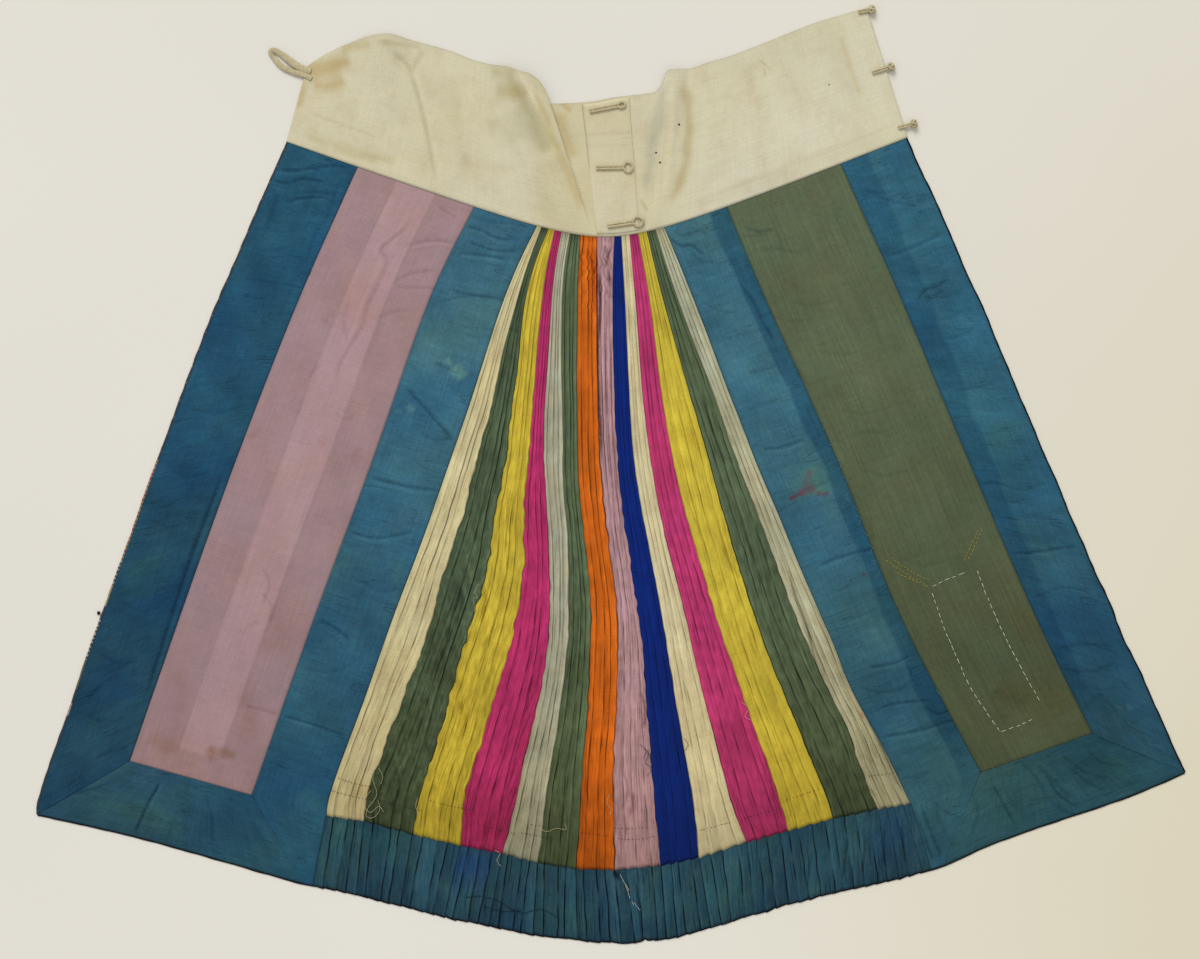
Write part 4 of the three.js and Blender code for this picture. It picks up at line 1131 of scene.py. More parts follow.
# Pleated strips and the pleated hem below them


def pleat_edges(strip, down):
    """Where each pleat of a strip starts, as a share of its width, for each place down it."""
    edges = [np.zeros_like(down)]
    for pleat in range(1, PLEATS):
        seed = strip * 7 + pleat
        drift = 0.035 * along_ripple(down, 0.45, 200 + seed) * smooth(0, 0.2, down)
        shake = 0.010 * along_ripple(down, 0.06, 330 + seed) * smooth(0, 0.3, down)
        fixed = 0.055 * math.sin(seed * 2.7)
        edges.append(pleat / PLEATS + drift + shake + fixed)
    edges.append(np.ones_like(down))
    return edges


def fold_shadow_strength(strip, pleat, down):
    """How dark the painted shadow along a fold is, down the strip: uneven, and broken in places."""
    seed = 400 + strip * 5 + pleat
    broken = 0.12 + 0.30 * smooth(0.35, 0.8, down)
    strength = 0.46 + 0.28 * along_ripple(down, 0.22, seed) + broken * along_ripple(down, 0.065, seed + 90)
    for deep_strip, deep_pleat, start, end, more in DARK_FOLD_SHADOWS:
        if (strip, pleat) == (deep_strip, deep_pleat):
            strength = strength + more * smooth(start, start + 0.05, down) * smooth(end, end - 0.08, down)
    return np.clip(strength, 0.04, 1.25)


def small_crease(seed, down):
    """How deep a small crease is along the strip: mostly none, then a short length."""
    size = 0.6 + 0.4 * math.sin(seed * 1.9)
    return size * smooth(0.0, 0.7, along_ripple(down, 0.085, seed)) * smooth(0.02, 0.12, down)


def pleat_grid(strip, down, wide):
    """Across shares, heights, shades and step phase of a strip's pleats, one row for each place down it.

    wide is the strip's width in millimetres at each of those places.
    """
    edges = pleat_edges(strip, down)
    strengths = [fold_shadow_strength(strip, pleat, down) for pleat in range(PLEATS)]
    strengths.append(0.5 * np.ones_like(down))
    across, rise, shade, step = [], [], [], []
    rng = np.random.RandomState(500 + strip)
    faces, steps = rng.uniform(-1, 1, PLEATS), rng.uniform(0.8, 3.4, PLEATS)
    for pleat in range(PLEATS):
        share = edges[pleat + 1] - edges[pleat]
        width = share * wide
        room = smooth(0.8, 3.2, width)
        depth = np.clip(0.78 + 0.30 * along_ripple(down, 0.35, 300 + strip * 5 + pleat), 0.35, 1.15)
        creases = [small_crease(800 + strip * 9 + pleat * 2 + which, down) for which in (0, 1)]
        moves = [0.05 * along_ripple(down, 0.2, 860 + strip * 9 + pleat * 2 + which) for which in (0, 1)]
        # Each pleat's face gets a painted shade of its own, as its tilt would give.
        face = 1 + 0.05 * faces[pleat] + 0.03 * along_ripple(down, 0.3, 880 + strip * 5 + pleat)
        for at, height, first, second in PLEAT_COLUMNS:
            sunk = first * creases[0] + second * creases[1]
            place = at + (moves[0] if first else 0) + (moves[1] if second else 0)
            after, before = place * width, (1 - place) * width
            # Painted shadow along the folds, painted highlight near the crest, painted shade in valley and
            # creases
            line_here = strengths[pleat] * np.exp(-((after - 0.3) / FOLD_SHADOW_WIDTH) ** 2)
            line_next = 0.6 * strengths[pleat + 1] * np.exp(-(before / (0.6 * FOLD_SHADOW_WIDTH)) ** 2)
            crest = 0.07 * depth * np.exp(-((after - CREST_HIGHLIGHT_AT) / 1.2) ** 2)
            valley = 0.09 * depth * np.exp(-before / 2.5)
            across.append(edges[pleat] + share * place)
            rise.append(height * depth - sunk * CREASE_DEPTH)
            shade.append(face * (1 - 0.70 * room * np.maximum(line_here, line_next)) * (1 + crest - valley)
                         * (1 - 0.40 * room * np.clip(sunk, 0, 1)))
            step.append(steps[pleat] * (0.5 - place) * smooth(1.0, 6.0, width))
    for grid, value in ((across, 1.0), (rise, 0.0), (shade, 0.8), (step, 0.0)):
        grid.append(np.full_like(down, value))
    grids = [np.stack(values, axis=1) for values in (across, rise, shade, step)]
    if strip < len(STRIPS) // 2:
        grids = [grid[:, ::-1] for grid in grids]
        grids[0] = 1 - grids[0]
    return grids


def pleat_top(rise, down):
    pinch = smooth(0, 0.035, down)
    stack = SILK_TOP + STACK_AT_WAIST * (1 - down) ** 3 * pinch
    return stack + rise * (PLEAT_RISE_AT_WAIST + (PLEAT_RISE - PLEAT_RISE_AT_WAIST) * down)


# Darker tints along folds and creases here are painted shade, lighter ones along ridges painted highlight.
STRIP_MARKS = {
    "strip_07": [
        ([(592, 244), (595, 262), (594, 290), (598, 320)], 4.5, -0.4, (0.78, 0.66, 0.5)),
        ([(586, 246), (591, 262), (596, 276)], 1.8, -0.6, (0.66, 0.54, 0.45)),
        ([(578, 242), (580, 262), (579, 290)], 1.5, -0.5, (0.72, 0.62, 0.5)),
        ([(596, 262), (594, 280), (598, 300)], 1.6, 0.5, (0.75, 0.65, 0.6)),
    ],
    "strip_08": [
        ([(598, 256), (600, 300), (598, 360), (600, 420), (603, 470)], 1.7, -1.2, (0.26, 0.21, 0.21)),
        ([(603, 262), (604, 300), (602, 360), (604, 420), (607, 470)], 1.7, 1.0, (1.12, 1.08, 1.08)),
        ([(607, 300), (606, 350), (607, 400), (611, 470), (618, 560)], 1.0, -0.6, (0.55, 0.48, 0.50)),
        ([(612, 330), (611, 380), (613, 430), (619, 500)], 1.0, -0.5, (0.55, 0.48, 0.50)),
        ([(603, 244), (608, 256), (603, 268)], 1.4, 0.7, (0.62, 0.56, 0.58)),
        ([(612, 246), (607, 262), (611, 284)], 1.4, -0.7, (0.55, 0.5, 0.52)),
        ([(603, 276), (611, 280), (617, 277)], 1.3, -0.6, (0.6, 0.55, 0.58)),
        ([(604, 292), (612, 296), (618, 291)], 1.3, -0.6, (0.65, 0.6, 0.62)),
        ([(606, 258), (613, 262), (618, 256)], 1.3, 0.6, (1.1, 1.06, 1.06)),
        ([(625, 790), (634, 800), (630, 815)], 3.0, -0.4, (0.72, 0.66, 0.68)),
        ([(640, 690), (646, 712), (642, 730)], 1.8, -0.6, (0.58, 0.5, 0.56)),
        ([(634, 700), (637, 720), (632, 745)], 1.8, 0.6, (1.08, 1.06, 1.06)),
        ([(622, 770), (628, 790), (620, 812)], 1.6, -0.5, (0.7, 0.64, 0.68)),
    ],
    "strip_01": [
        ([(345, 792), (372, 792), (420, 800)], 9.0, 0.0, (0.90, 0.86, 0.78)),
        ([(470, 320), (440, 400), (425, 450)], 4.0, 0.0, (0.90, 0.82, 0.70)),
        ([(478, 330), (466, 368), (452, 420)], 2.0, -0.5, (0.78, 0.70, 0.56)),
        ([(440, 430), (428, 500), (402, 560)], 5.0, 0.0, (0.90, 0.82, 0.72)),
        ([(432, 470), (420, 520), (398, 580)], 1.4, -0.5, (0.66, 0.58, 0.46)),
        ([(424, 480), (408, 540)], 1.2, -0.4, (0.70, 0.62, 0.50)),
    ],
    "strip_02": [
        ([(478, 318), (486, 322), (494, 320)], 2.0, -0.4, 0.62),
        ([(508, 326), (514, 332), (520, 328)], 1.8, -0.4, 0.62),
        ([(462, 560), (476, 590), (462, 625)], 4.5, 0.6, (1.18, 1.16, 1.14)),
        ([(455, 580), (462, 600), (452, 640)], 2.0, -0.6, 0.66),
        ([(440, 640), (450, 665), (440, 700)], 3.5, 0.5, (1.15, 1.14, 1.12)),
        ([(404, 730), (410, 752), (400, 775)], 3.0, 0.5, (1.2, 1.18, 1.14)),
        ([(392, 760), (400, 785), (388, 812)], 2.0, -0.5, 0.68),
    ],
    "strip_03": [
        ([(478, 580), (486, 600), (480, 625)], 2.4, -0.5, (0.72, 0.68, 0.50)),
        ([(470, 640), (480, 665), (472, 690)], 3.0, 0.6, (1.10, 1.10, 1.05)),
        ([(458, 700), (466, 722), (455, 745)], 2.4, -0.6, (0.74, 0.70, 0.52)),
        ([(430, 770), (440, 790), (432, 815)], 3.0, 0.5, (1.08, 1.08, 1.04)),
    ],
    "strip_04": [
        ([(478, 750), (474, 772), (468, 795)], 1.0, -0.5, (0.62, 0.62, 0.66)),
        ([(492, 690), (488, 715), (480, 735)], 2.4, 0.5, 1.12),
    ],
    "strip_06": [
        ([(580, 600), (575, 660), (566, 720)], 1.4, -0.5, 0.62),
    ],
    "strip_12": [
        ([(763, 744), (768, 768), (777, 796), (788, 826)], 1.0, 0.2, (0.95, 0.45, 0.9)),
        ([(722, 540), (728, 560), (740, 580)], 2.4, -0.5, (0.72, 0.68, 0.56)),
        ([(716, 500), (724, 520), (736, 530)], 2.4, 0.5, (1.08, 1.08, 1.04)),
    ],
    "strip_13": [
        ([(700, 384), (712, 430), (728, 470)], 1.3, -0.5, 0.6),
        ([(760, 560), (785, 640), (812, 712)], 1.5, -0.5, 0.62),
    ],
    "strip_14": [
        ([(820, 600), (850, 690), (880, 780)], 8.0, 0.0, (0.92, 0.90, 0.84)),
        ([(668, 236), (680, 290), (698, 350), (720, 410)], 12.0, 0.0, (0.98, 1.05, 1.16)),
        ([(692, 330), (704, 372), (722, 410)], 1.6, -0.5, (0.72, 0.68, 0.60)),
        ([(740, 440), (752, 480), (770, 510)], 3.5, 0.7, (1.08, 1.08, 1.06)),
        ([(732, 450), (744, 490), (762, 520)], 1.6, -0.7, (0.66, 0.62, 0.56)),
        ([(780, 480), (800, 540), (820, 580)], 2.4, -0.6, (0.70, 0.67, 0.60)),
        ([(786, 564), (794, 592), (806, 624), (816, 664), (828, 696), (840, 716)],
         1.2, -0.7, (0.45, 0.43, 0.38)),
        ([(836, 656), (858, 700), (870, 724), (884, 752), (896, 780), (908, 800)],
         1.1, -0.7, (0.36, 0.34, 0.32)),
        ([(850, 700), (866, 740), (880, 770)], 1.6, 0.6, (1.08, 1.08, 1.06)),
        ([(840, 740), (862, 780), (880, 800)], 1.1, -0.5, (0.62, 0.60, 0.54)),
        ([(860, 712), (864, 719)], 1.2, 0.0, (1.0, 0.5, 0.45)),
        ([(700, 360), (716, 410), (736, 450)], 1.2, -0.5, (0.66, 0.63, 0.56)),
    ],
}


def strip_wear_and_shade(index, x, y, down):
    """Uneven dye, and the darker, dirtier cloth near the hem, its darkening partly dirt and partly painted
    shade.
    """
    shade = 1 + 0.06 * ripple(x, y, 90, 600 + index) + 0.04 * ripple(x, y, 22, 630 + index)
    # Darker towards the hem: partly dirt, partly painted shade of the steps there.
    shade = shade * (1 - 0.08 * smooth(0.5, 0.85, down) - 0.14 * smooth(0.86, 0.97, down))
    dirt = 0.10 * smooth(0.55, 1.0, down) + 0.05 * np.abs(ripple(x, y, 140, 660 + index))
    return np.dstack([shade, shade * (1 - 0.3 * dirt), shade * (1 - dirt)])


def crinkled(index, x, y, down):
    """Short uneven crinkles, longer down the strip than across it."""
    amount = CRINKLE[index] * smooth(0.25, 0.6, down) + 0.25
    crinkle = ripple(x, y * 0.42, 6.5, 740 + index) + 0.5 * ripple(x, y * 0.6, 11, 760 + index)
    return amount * crinkle * smooth(0.0, 0.06, down)


def build_strips(made):
    down = np.linspace(0, 1, 181)
    for index, (colour, _) in enumerate(STRIPS):
        top = waist_between(STRIP_SEAMS[index][0], STRIP_SEAMS[index + 1][0])
        bottom = line(STRIP_SEAMS[index][2], STRIP_SEAMS[index + 1][2])
        left, right = WAVY_SEAM[index], WAVY_SEAM[index + 1]
        wide = np.linalg.norm(right(down) - left(down), axis=1)
        u, rise, shade, step = pleat_grid(index, down, wide)
        plan = four_sided(top, bottom, left, right, u, down)
        v = down[:, None] * np.ones_like(u)
        plan[..., 1] -= step * smooth(0.93, 1.0, v)
        for number, away in ((index, u), (index + 1, 1 - u)):
            plan[..., 0] += short_wave(number, v) * np.exp(-away * wide[:, None] / 4)
        x, y = plan[..., 0], plan[..., 1]
        gathered = smooth(0.0, 0.02, v) * smooth(0.16, 0.06, v) * (index in GATHERED)
        inside = smooth(0, 0.2, u) * smooth(0, 0.2, 1 - u)
        plan[..., 0] += 1.5 * gathered * inside * ripple(x * 0.3, y, 15, 770 + index)
        crinkle = crinkled(index, x, y, v)
        gathers = gathered * ripple(x, y * 0.8, 8, 780 + index)
        height = pleat_top(rise, v) + 0.13 * crinkle + 0.5 * gathers
        height += 0.12 * ripple(x, y, 24, 720 + index) * smooth(0.02, 0.2, v)
        height -= 0.5 * np.exp(-(1 - v) * STRIP_LENGTH / 3)
        # Painted shade at both ends of the strip, and painted light and shade following the crinkles and
        # gathers
        ends_shade = 0.30 * np.exp(-v * STRIP_LENGTH / 4) + 0.25 * np.exp(-(1 - v) * STRIP_LENGTH / 2)
        shade = shade * (1 + 0.05 * crinkle) * (1 + GATHERED.get(index, 0) * gathers) * (1 - ends_shade)
        tint = shade[..., None] * strip_wear_and_shade(index, x, y, v)
        # The folds' painted shade and highlight, with the other tints, made stronger for each silk
        usual = np.median(tint)
        tint = usual * np.clip(tint / usual, 0.2, 1.6) ** LIVELY[colour]
        name = f"strip_{index + 1:02d}"
        mark(x, y, height, tint, STRIP_MARKS.get(name, []))
        under = np.clip(rise * (0.45 + 0.85 * v) * 0.7, 0.03, None)
        weave = np.dstack([u * (14 + 38 * v) + index * 60, -v * STRIP_LENGTH, np.zeros_like(x)])
        piece = shell(name, plan, np.maximum(height, under + 0.5), under, tint, weave, coarse=5)
        slot = f"{colour}_silk"
        dress(piece, made[f"{slot}_{index + 1:02d}"], slot, name)
        cut(piece, plan)


def hem_scallop(x):
    """How far the hem's outer edge steps at each pleat, in millimetres, and the notch near its middle."""
    share = (np.asarray(x, float) - HEM_X["pleats_left"]) / (HEM_X["pleats_right"] - HEM_X["pleats_left"])
    inside = smooth(0, 0.01, share) * smooth(0, 0.01, 1 - share)
    phase = np.clip(share, 0, 1) * len(STRIPS) * PLEATS
    pleat = np.minimum(phase.astype(int), len(STRIPS) * PLEATS - 1)
    rng = np.random.RandomState(77)
    sizes = rng.uniform(0.2, 1.9, len(STRIPS) * PLEATS)
    saw = phase - pleat
    saw = np.where(share < 0.5, 1 - saw, saw)
    (notch_x, _), = from_photo((645, 942))
    notch = 3.0 * np.exp(-((x - notch_x) / 2.2) ** 2)
    return inside * (sizes[pleat] * (saw - 0.5) + 0.8 * along_ripple(share, 0.08, 31)) + notch


# Darker tints along the hem's creases are painted shade, the lighter one along its ridge painted highlight.
HEM_MARKS = [
    ([(612, 872), (622, 880)], 4.0, 0.0, (0.55, 0.6, 0.66)),
    ([(455, 860), (492, 874)], 22.0, 0.0, (0.86, 0.88, 1.5)),
    ([(330, 825), (410, 850)], 20.0, 0.0, (1.2, 1.24, 1.02)),
    ([(520, 905), (600, 925)], 16.0, 0.0, (1.15, 1.18, 0.95)),
    ([(615, 872), (618, 879)], 2.2, 0.0, (0.1, 0.12, 0.2)),
    ([(642, 890), (650, 930)], 6.0, 0.5, (1.15, 1.15, 1.1)),
    ([(636, 880), (642, 936)], 1.6, -0.6, (0.35, 0.38, 0.42)),
    ([(700, 890), (760, 900)], 16.0, 0.0, (1.12, 1.14, 1.02)),
    ([(848, 836), (842, 880)], 1.3, -0.6, (0.4, 0.42, 0.46)),
    ([(866, 832), (862, 876)], 1.3, -0.5, (0.5, 0.52, 0.56)),
    ([(884, 826), (884, 866)], 1.3, -0.6, (0.4, 0.42, 0.46)),
    ([(812, 850), (806, 890)], 1.3, -0.5, (0.5, 0.52, 0.56)),
    ([(900, 822), (906, 866)], 1.3, -0.5, (0.5, 0.52, 0.56)),
]


def build_pleated_hem(made):
    down = np.linspace(0, 1, 25)
    plans, tops, tints, weaves, unders = [], [], [], [], []
    for index in range(len(STRIPS)):
        start = np.array(STRIP_SEAMS[index][2], float)
        end = np.array(STRIP_SEAMS[index + 1][2], float)
        wide = np.full_like(down, np.linalg.norm(end - start))
        across, rise, shade, step = pleat_grid(index, 1 + HEM_SHARE * down, wide)
        if index < len(STRIPS) - 1:
            across, rise, shade, step = (grid[:, :-1] for grid in (across, rise, shade, step))
        upper = start + (end - start) * across[..., None]
        upper[..., 1] -= step
        share = (index + across) / len(STRIPS)
        lower = hem_point(HEM_X["pleats_left"] + (HEM_X["pleats_right"] - HEM_X["pleats_left"]) * share)
        lower[..., 1] += hem_scallop(lower[..., 0])
        v = down[:, None, None]
        plan = upper * (1 - v) + lower * v
        v = v[..., 0] * np.ones_like(across)
        depth = 1 + 0.15 * v
        height = SILK_TOP + rise * PLEAT_RISE * depth
        x, y = plan[..., 0], plan[..., 1]
        height += 0.14 * ripple(x * 2, y * 0.6, 30, 801)
        height -= 0.4 * np.exp(-v * HEM_DEPTH / 3) + 0.5 * np.exp(-(1 - v) * HEM_DEPTH / 2.5)
        # The pleats' painted light and shade, made stronger except near the right end.
        contrast = 3.0 - 2.2 * smooth(0.80, 0.99, share)
        shade = 1.06 * np.clip(1 + (shade - 1) * contrast, 0.06, 1.5)
        tint = np.repeat(shade[..., None], 3, axis=2)
        patch = ripple(x, y, 95, 812)
        fine_patch = ripple(x, y, 26, 813)
        tint *= np.dstack([1 + 0.16 * patch + 0.06 * fine_patch, 1 + 0.13 * patch + 0.05 * fine_patch,
                           1 - 0.02 * patch + 0.05 * fine_patch])
        # Painted shade along the seam under the strips, and darker towards the lower edge.
        tint *= (1 - 0.25 * np.exp(-v * HEM_DEPTH / 2.0) - 0.12 * smooth(0.5, 1, v))[..., None]
        plans.append(plan)
        tops.append(height)
        tints.append(tint)
        unders.append(np.clip(rise * 0.45, 0.03, None))
        weaves.append(np.dstack([x, -v * HEM_DEPTH, np.zeros_like(x)]))
    plan, top, under = np.hstack(plans), np.hstack(tops), np.hstack(unders)
    tint, weave = np.hstack(tints), np.hstack(weaves)
    x, y = plan[..., 0], plan[..., 1]
    mark(x, y, top, tint, HEM_MARKS)
    piece = shell("pleated_hem", plan, np.maximum(top, under + 0.4), under, tint, weave, coarse=3)
    dress(piece, made["hem_blue_silk"], "hem_blue_silk", "pleated_hem")
    return piece, plan


# Edgings

EDGING_HEIGHT = 1.5


def edging(name, made, slot, curve, segments, paint, width=1.9):
    share = np.linspace(0, 1, segments + 1)
    points = curve(share)
    ahead = np.gradient(points, axis=0)
    ahead /= np.linalg.norm(ahead, axis=1)[:, None]
    outward = np.stack([ahead[:, 1], -ahead[:, 0]], axis=1)
    profile = [(1.0, 0.35), (0.86, 0.85), (0.6, 1.0), (0.35, 1.0), (0.12, 0.9), (-0.05, 0.7)]
    wander = 0.25 * along_ripple(share, 0.02, 61)
    plan = np.stack([points + outward * (width * at + wander * at)[:, None] for at, _ in profile], axis=1)
    top = np.stack([np.full(segments + 1, EDGING_HEIGHT * rise) for _, rise in profile], axis=1)
    top += (0.12 * along_ripple(share, 0.012, 62))[:, None]
    along = share * Spline(curve(np.linspace(0, 1, 60))).length
    tint = paint(along, points)[:, None] * np.ones((1, len(profile), 1))
    weave = np.dstack([np.tile([at * width for at, _ in profile], (segments + 1, 1)),
                       np.tile(along[:, None], (1, len(profile))), np.zeros_like(top)])
    piece = shell(name, plan, top, np.full_like(top, 0.02), tint, weave)
    return dress(piece, made[slot], slot, name)


def trim_colours(along, points):
    """Dashes of the woven trim: which colours take turns at which height, in photograph rows."""
    row = PHOTO_ORIGIN[1] - points[:, 1] / PIXEL
    dash = (along / 2.6).astype(int)
    black, cream, red = np.array([.06, .05, .06]), np.array([.66, .60, .46]), np.array([.50, .08, .10])
    yellow, olive, pale = np.array([.62, .52, .16]), np.array([.22, .20, .08]), np.array([.70, .62, .42])
    pink = np.array([.62, .34, .38])
    colours = np.tile(black, (len(row), 1))
    bands = [
        (150, 460, [black, black, black, olive, black, black, black, black]),
        (460, 560, [red, yellow]),
        (560, 585, [black, cream]),
        (585, 607, [yellow]),
        (607, 618, [black]),
        (618, 660, [black, cream]),
        (660, 690, [olive]),
        (690, 703, [black]),
        (703, 716, [pale, pink]),
    ]
    for low, high, turn in bands:
        here = (row >= low) & (row < high)
        colours[here] = np.array(turn)[dash[here] % len(turn)]
    return 0.42 * colours + 0.58 * black


def plain(along, _):
    return np.ones((len(along), 3)) * (1 + 0.25 * along_ripple(along, 40, 3))[:, None]


def build_edgings(made):
    edging("woven_trim", made, "woven_trim", SEAM["left_edge"], 700, trim_colours, width=2.2)
    edging("side_piping", made, "piping_silk", lambda share: SEAM["right_edge"](1 - share), 300, plain)

    def hem(share):
        points = hem_between(HEM_X["left_corner"], HEM_X["right_corner"])(share)
        points[..., 1] += hem_scallop(points[..., 0])
        return points
    return edging("hem_piping", made, "piping_silk", hem, 900, plain)


# Waistband

BAND_SECTIONS = [
    # waist seam x, upper edge x and y, height above flat at the upper edge
    (-373, -349, 470, 0), (-358, -327, 484, 0), (-335, -298, 497, 1), (-312, -274, 505, 2),
    (-297, -258, 507, 2), (-270, -228, 499, 1), (-225, -184, 487, 0), (-180, -156, 476, 0),
    (-120, -134, 471, 1.5), (-70, -119, 469, 5), (-30, -107, 464, 8.6), (-26, -95, 461, 8.2),
    (-23.4, -85, 454.5, 7.4), (-21.6, -78, 446, 6.2), (-20.6, -73.5, 438, 5.0), (-20.1, -72.6, 434, 3.8),
    (-19.8, -73.5, 430, 2.7), (-19.5, -75, 427.4, 1.7), (-19.2, -73.5, 426.6, 0.7), (-18.6, -67, 426.6, 0.2),
    (-17.5, -52, 427, 0), (-16, -34, 428, 0), (0, -16, 430, 0), (20, 4, 434, 0), (33, 21, 436, 0),
    (40, 50, 440, 0.5), (46, 58, 448, 2), (52, 66, 465, 7), (62, 77, 466, 5.5), (72, 90, 467, 1.5),
    (105, 110, 473, 2.5), (140, 130, 479, 1), (200, 180, 498, 0), (270, 236, 520, 0), (341, 294, 537, 0),
]
BAND_TOP = 2.4
BAND_THICK = 1.5
BAND_WIDTH = 160
PLACKET_WIDTH = 46
# Marks that start left of this x are on the band's upper, left layer
LAYERS_MEET = -70
BAND_MARKS = [
    # the left layer: ridge with painted highlight and shade, stains, grey patches partly of painted shade,
    # and the branching crease
    ([(517, 69), (530, 92), (543, 116), (562, 165), (592, 226)], 3.6, 1.1, (1.10, 1.11, 1.14)),
    ([(531, 84), (549, 130), (568, 176), (588, 218)], 5.0, -0.3, (0.84, 0.78, 0.66)),
    ([(490, 72), (516, 75)], 8.0, 0.3, (0.85, 0.85, 0.78)),
    ([(508, 76), (521, 98), (534, 124), (548, 160)], 6.0, -0.5, (0.88, 0.87, 0.82)),
    ([(517, 70), (528, 92), (541, 116), (554, 146)], 1.8, 0.5, 1.08),
    ([(494, 90), (518, 93), (530, 96)], 9.0, -0.3, (0.84, 0.80, 0.70)),
    ([(516, 104), (534, 126), (550, 156)], 14.0, -0.7, (0.85, 0.85, 0.80)),
    ([(500, 112), (520, 142)], 16.0, 0.3, (0.92, 0.92, 0.90)),
    ([(530, 170), (560, 215)], 18.0, 0.0, (0.94, 0.94, 0.92)),
    ([(306, 72), (330, 68), (352, 58)], 10.0, 0.0, (0.84, 0.73, 0.56)),
    ([(312, 84), (330, 86), (346, 78)], 8.0, 0.0, (0.86, 0.77, 0.60)),
    ([(300, 66), (302, 84), (298, 110)], 6.0, 0.0, (0.86, 0.78, 0.62)),
    ([(340, 50), (372, 44)], 6.0, 0.0, (0.90, 0.84, 0.72)),
    ([(383, 48), (402, 60), (411, 74), (423, 116), (437, 186)], 2.4, -0.8, (0.84, 0.82, 0.77)),
    ([(424, 50), (411, 74)], 2.4, -0.7, (0.86, 0.84, 0.79)),
    ([(392, 56), (416, 80), (428, 116), (442, 184)], 3.2, 0.7, 1.05),
    ([(375, 42), (400, 45), (423, 49)], 2.6, -0.5, (0.86, 0.82, 0.74)),
    ([(380, 40), (396, 50), (392, 64)], 6.0, 0.4, (0.92, 0.91, 0.90)),
    ([(305, 112), (345, 126), (380, 138)], 2.0, -0.4, (0.92, 0.90, 0.86)),
    ([(330, 150), (365, 158), (400, 160)], 4.0, -0.3, (0.95, 0.93, 0.89)),
    ([(340, 96), (372, 98), (398, 92)], 4.0, 0.3, 1.03),
    ([(450, 70), (458, 120), (466, 180)], 8.0, -0.4, (0.95, 0.94, 0.92)),
    ([(440, 112), (480, 118), (520, 116)], 5.0, 0.3, 1.03),
    ([(455, 160), (490, 170), (520, 168)], 6.0, -0.3, (0.95, 0.93, 0.90)),
    ([(300, 134), (340, 146), (400, 164)], 5.0, 0.0, (0.93, 0.90, 0.84)),
    # the right layer: painted shade in the hollow and trough beside the tuck, painted highlight on the ridge,
    # and the long soft lines
    ([(664, 82), (659, 110), (655, 140), (645, 200)], 6.5, -1.2, (0.82, 0.84, 0.88)),
    ([(652, 132), (646, 160)], 7.0, -0.4, (0.92, 0.93, 0.97)),
    ([(673, 74), (672, 100), (672, 130), (665, 200)], 4.0, 1.2, 1.06),
    ([(683, 78), (687, 106), (689, 134), (684, 169), (671, 208)], 5.5, -1.1, (0.80, 0.75, 0.62)),
    ([(700, 80), (708, 130), (702, 185)], 7.0, 0.7, 1.04),
    ([(640, 200), (649, 213)], 1.8, -0.4, (0.84, 0.82, 0.76)),
    ([(660, 214), (720, 193), (800, 161), (903, 123)], 1.4, -0.3, (0.92, 0.90, 0.86)),
    ([(670, 220), (740, 190), (830, 156), (900, 134)], 7.0, 0.0, (0.95, 0.94, 0.92)),
    ([(740, 60), (760, 110), (775, 150)], 8.0, -0.4, (0.96, 0.95, 0.93)),
    ([(718, 84), (726, 130), (736, 160)], 7.0, 0.4, 1.03),
    ([(782, 66), (800, 100), (802, 130)], 5.0, -0.4, (0.96, 0.94, 0.91)),
    ([(830, 40), (850, 90), (870, 130)], 9.0, -0.4, (0.97, 0.96, 0.94)),
    ([(760, 60), (772, 72)], 1.6, -0.3, (0.86, 0.80, 0.70)),
    ([(764, 66), (766, 78)], 1.3, -0.2, (0.84, 0.78, 0.68)),
    ([(690, 62), (720, 54), (760, 38), (830, 12)], 2.0, 0.0, (0.90, 0.85, 0.76)),
    ([(838, 30), (850, 66), (862, 100)], 3.0, 0.0, (0.92, 0.87, 0.78)),
    ([(556, 110), (575, 160)], 7.0, 0.0, (0.90, 0.83, 0.70)),
    ([(560, 102), (572, 112)], 3.0, 0.0, (0.86, 0.78, 0.64)),
]


def steady(x, y, at):
    """A smooth curve through points that never overshoots them."""
    step = np.diff(x)
    slope = np.diff(y) / step
    inner = np.zeros(len(x) - 2)
    same = slope[:-1] * slope[1:] > 0
    first, second = 2 * step[1:] + step[:-1], step[1:] + 2 * step[:-1]
    inner[same] = ((first + second) / (first / np.where(same, slope[:-1], 1)
                                       + second / np.where(same, slope[1:], 1)))[same]
    bend = np.concatenate([[slope[0]], inner, [slope[-1]]])
    place = np.clip(np.searchsorted(x, at, "right") - 1, 0, len(x) - 2)
    t = (at - x[place]) / step[place]
    h = step[place]
    return (
        (1 + 2 * t) * (1 - t) ** 2 * y[place] + t * (1 - t) ** 2 * h * bend[place]
        + t * t * (3 - 2 * t) * y[place + 1] + t * t * (t - 1) * h * bend[place + 1]
    )


SECTIONS = np.array(BAND_SECTIONS, float)
SECTION_AT = np.concatenate([[0], np.cumsum(
    np.linalg.norm(np.diff(SECTIONS[:, 1:3], axis=0), axis=1) * 0.6
    + np.abs(np.diff(SECTIONS[:, 0])) * 0.4 + 1.0)])


def band_grid(at, up):
    """Plan and lift of the waistband: at runs along it, up from the seam (0) to the upper edge (1)."""
    seam_x, top_x, top_y, lift = (steady(SECTION_AT, SECTIONS[:, column], at) for column in range(4))
    low = waist_point(seam_x)
    high = np.stack([top_x, top_y], axis=-1)
    plan = low[None] + (high - low)[None] * up[:, None, None]
    return plan, lift[None] * up[:, None]


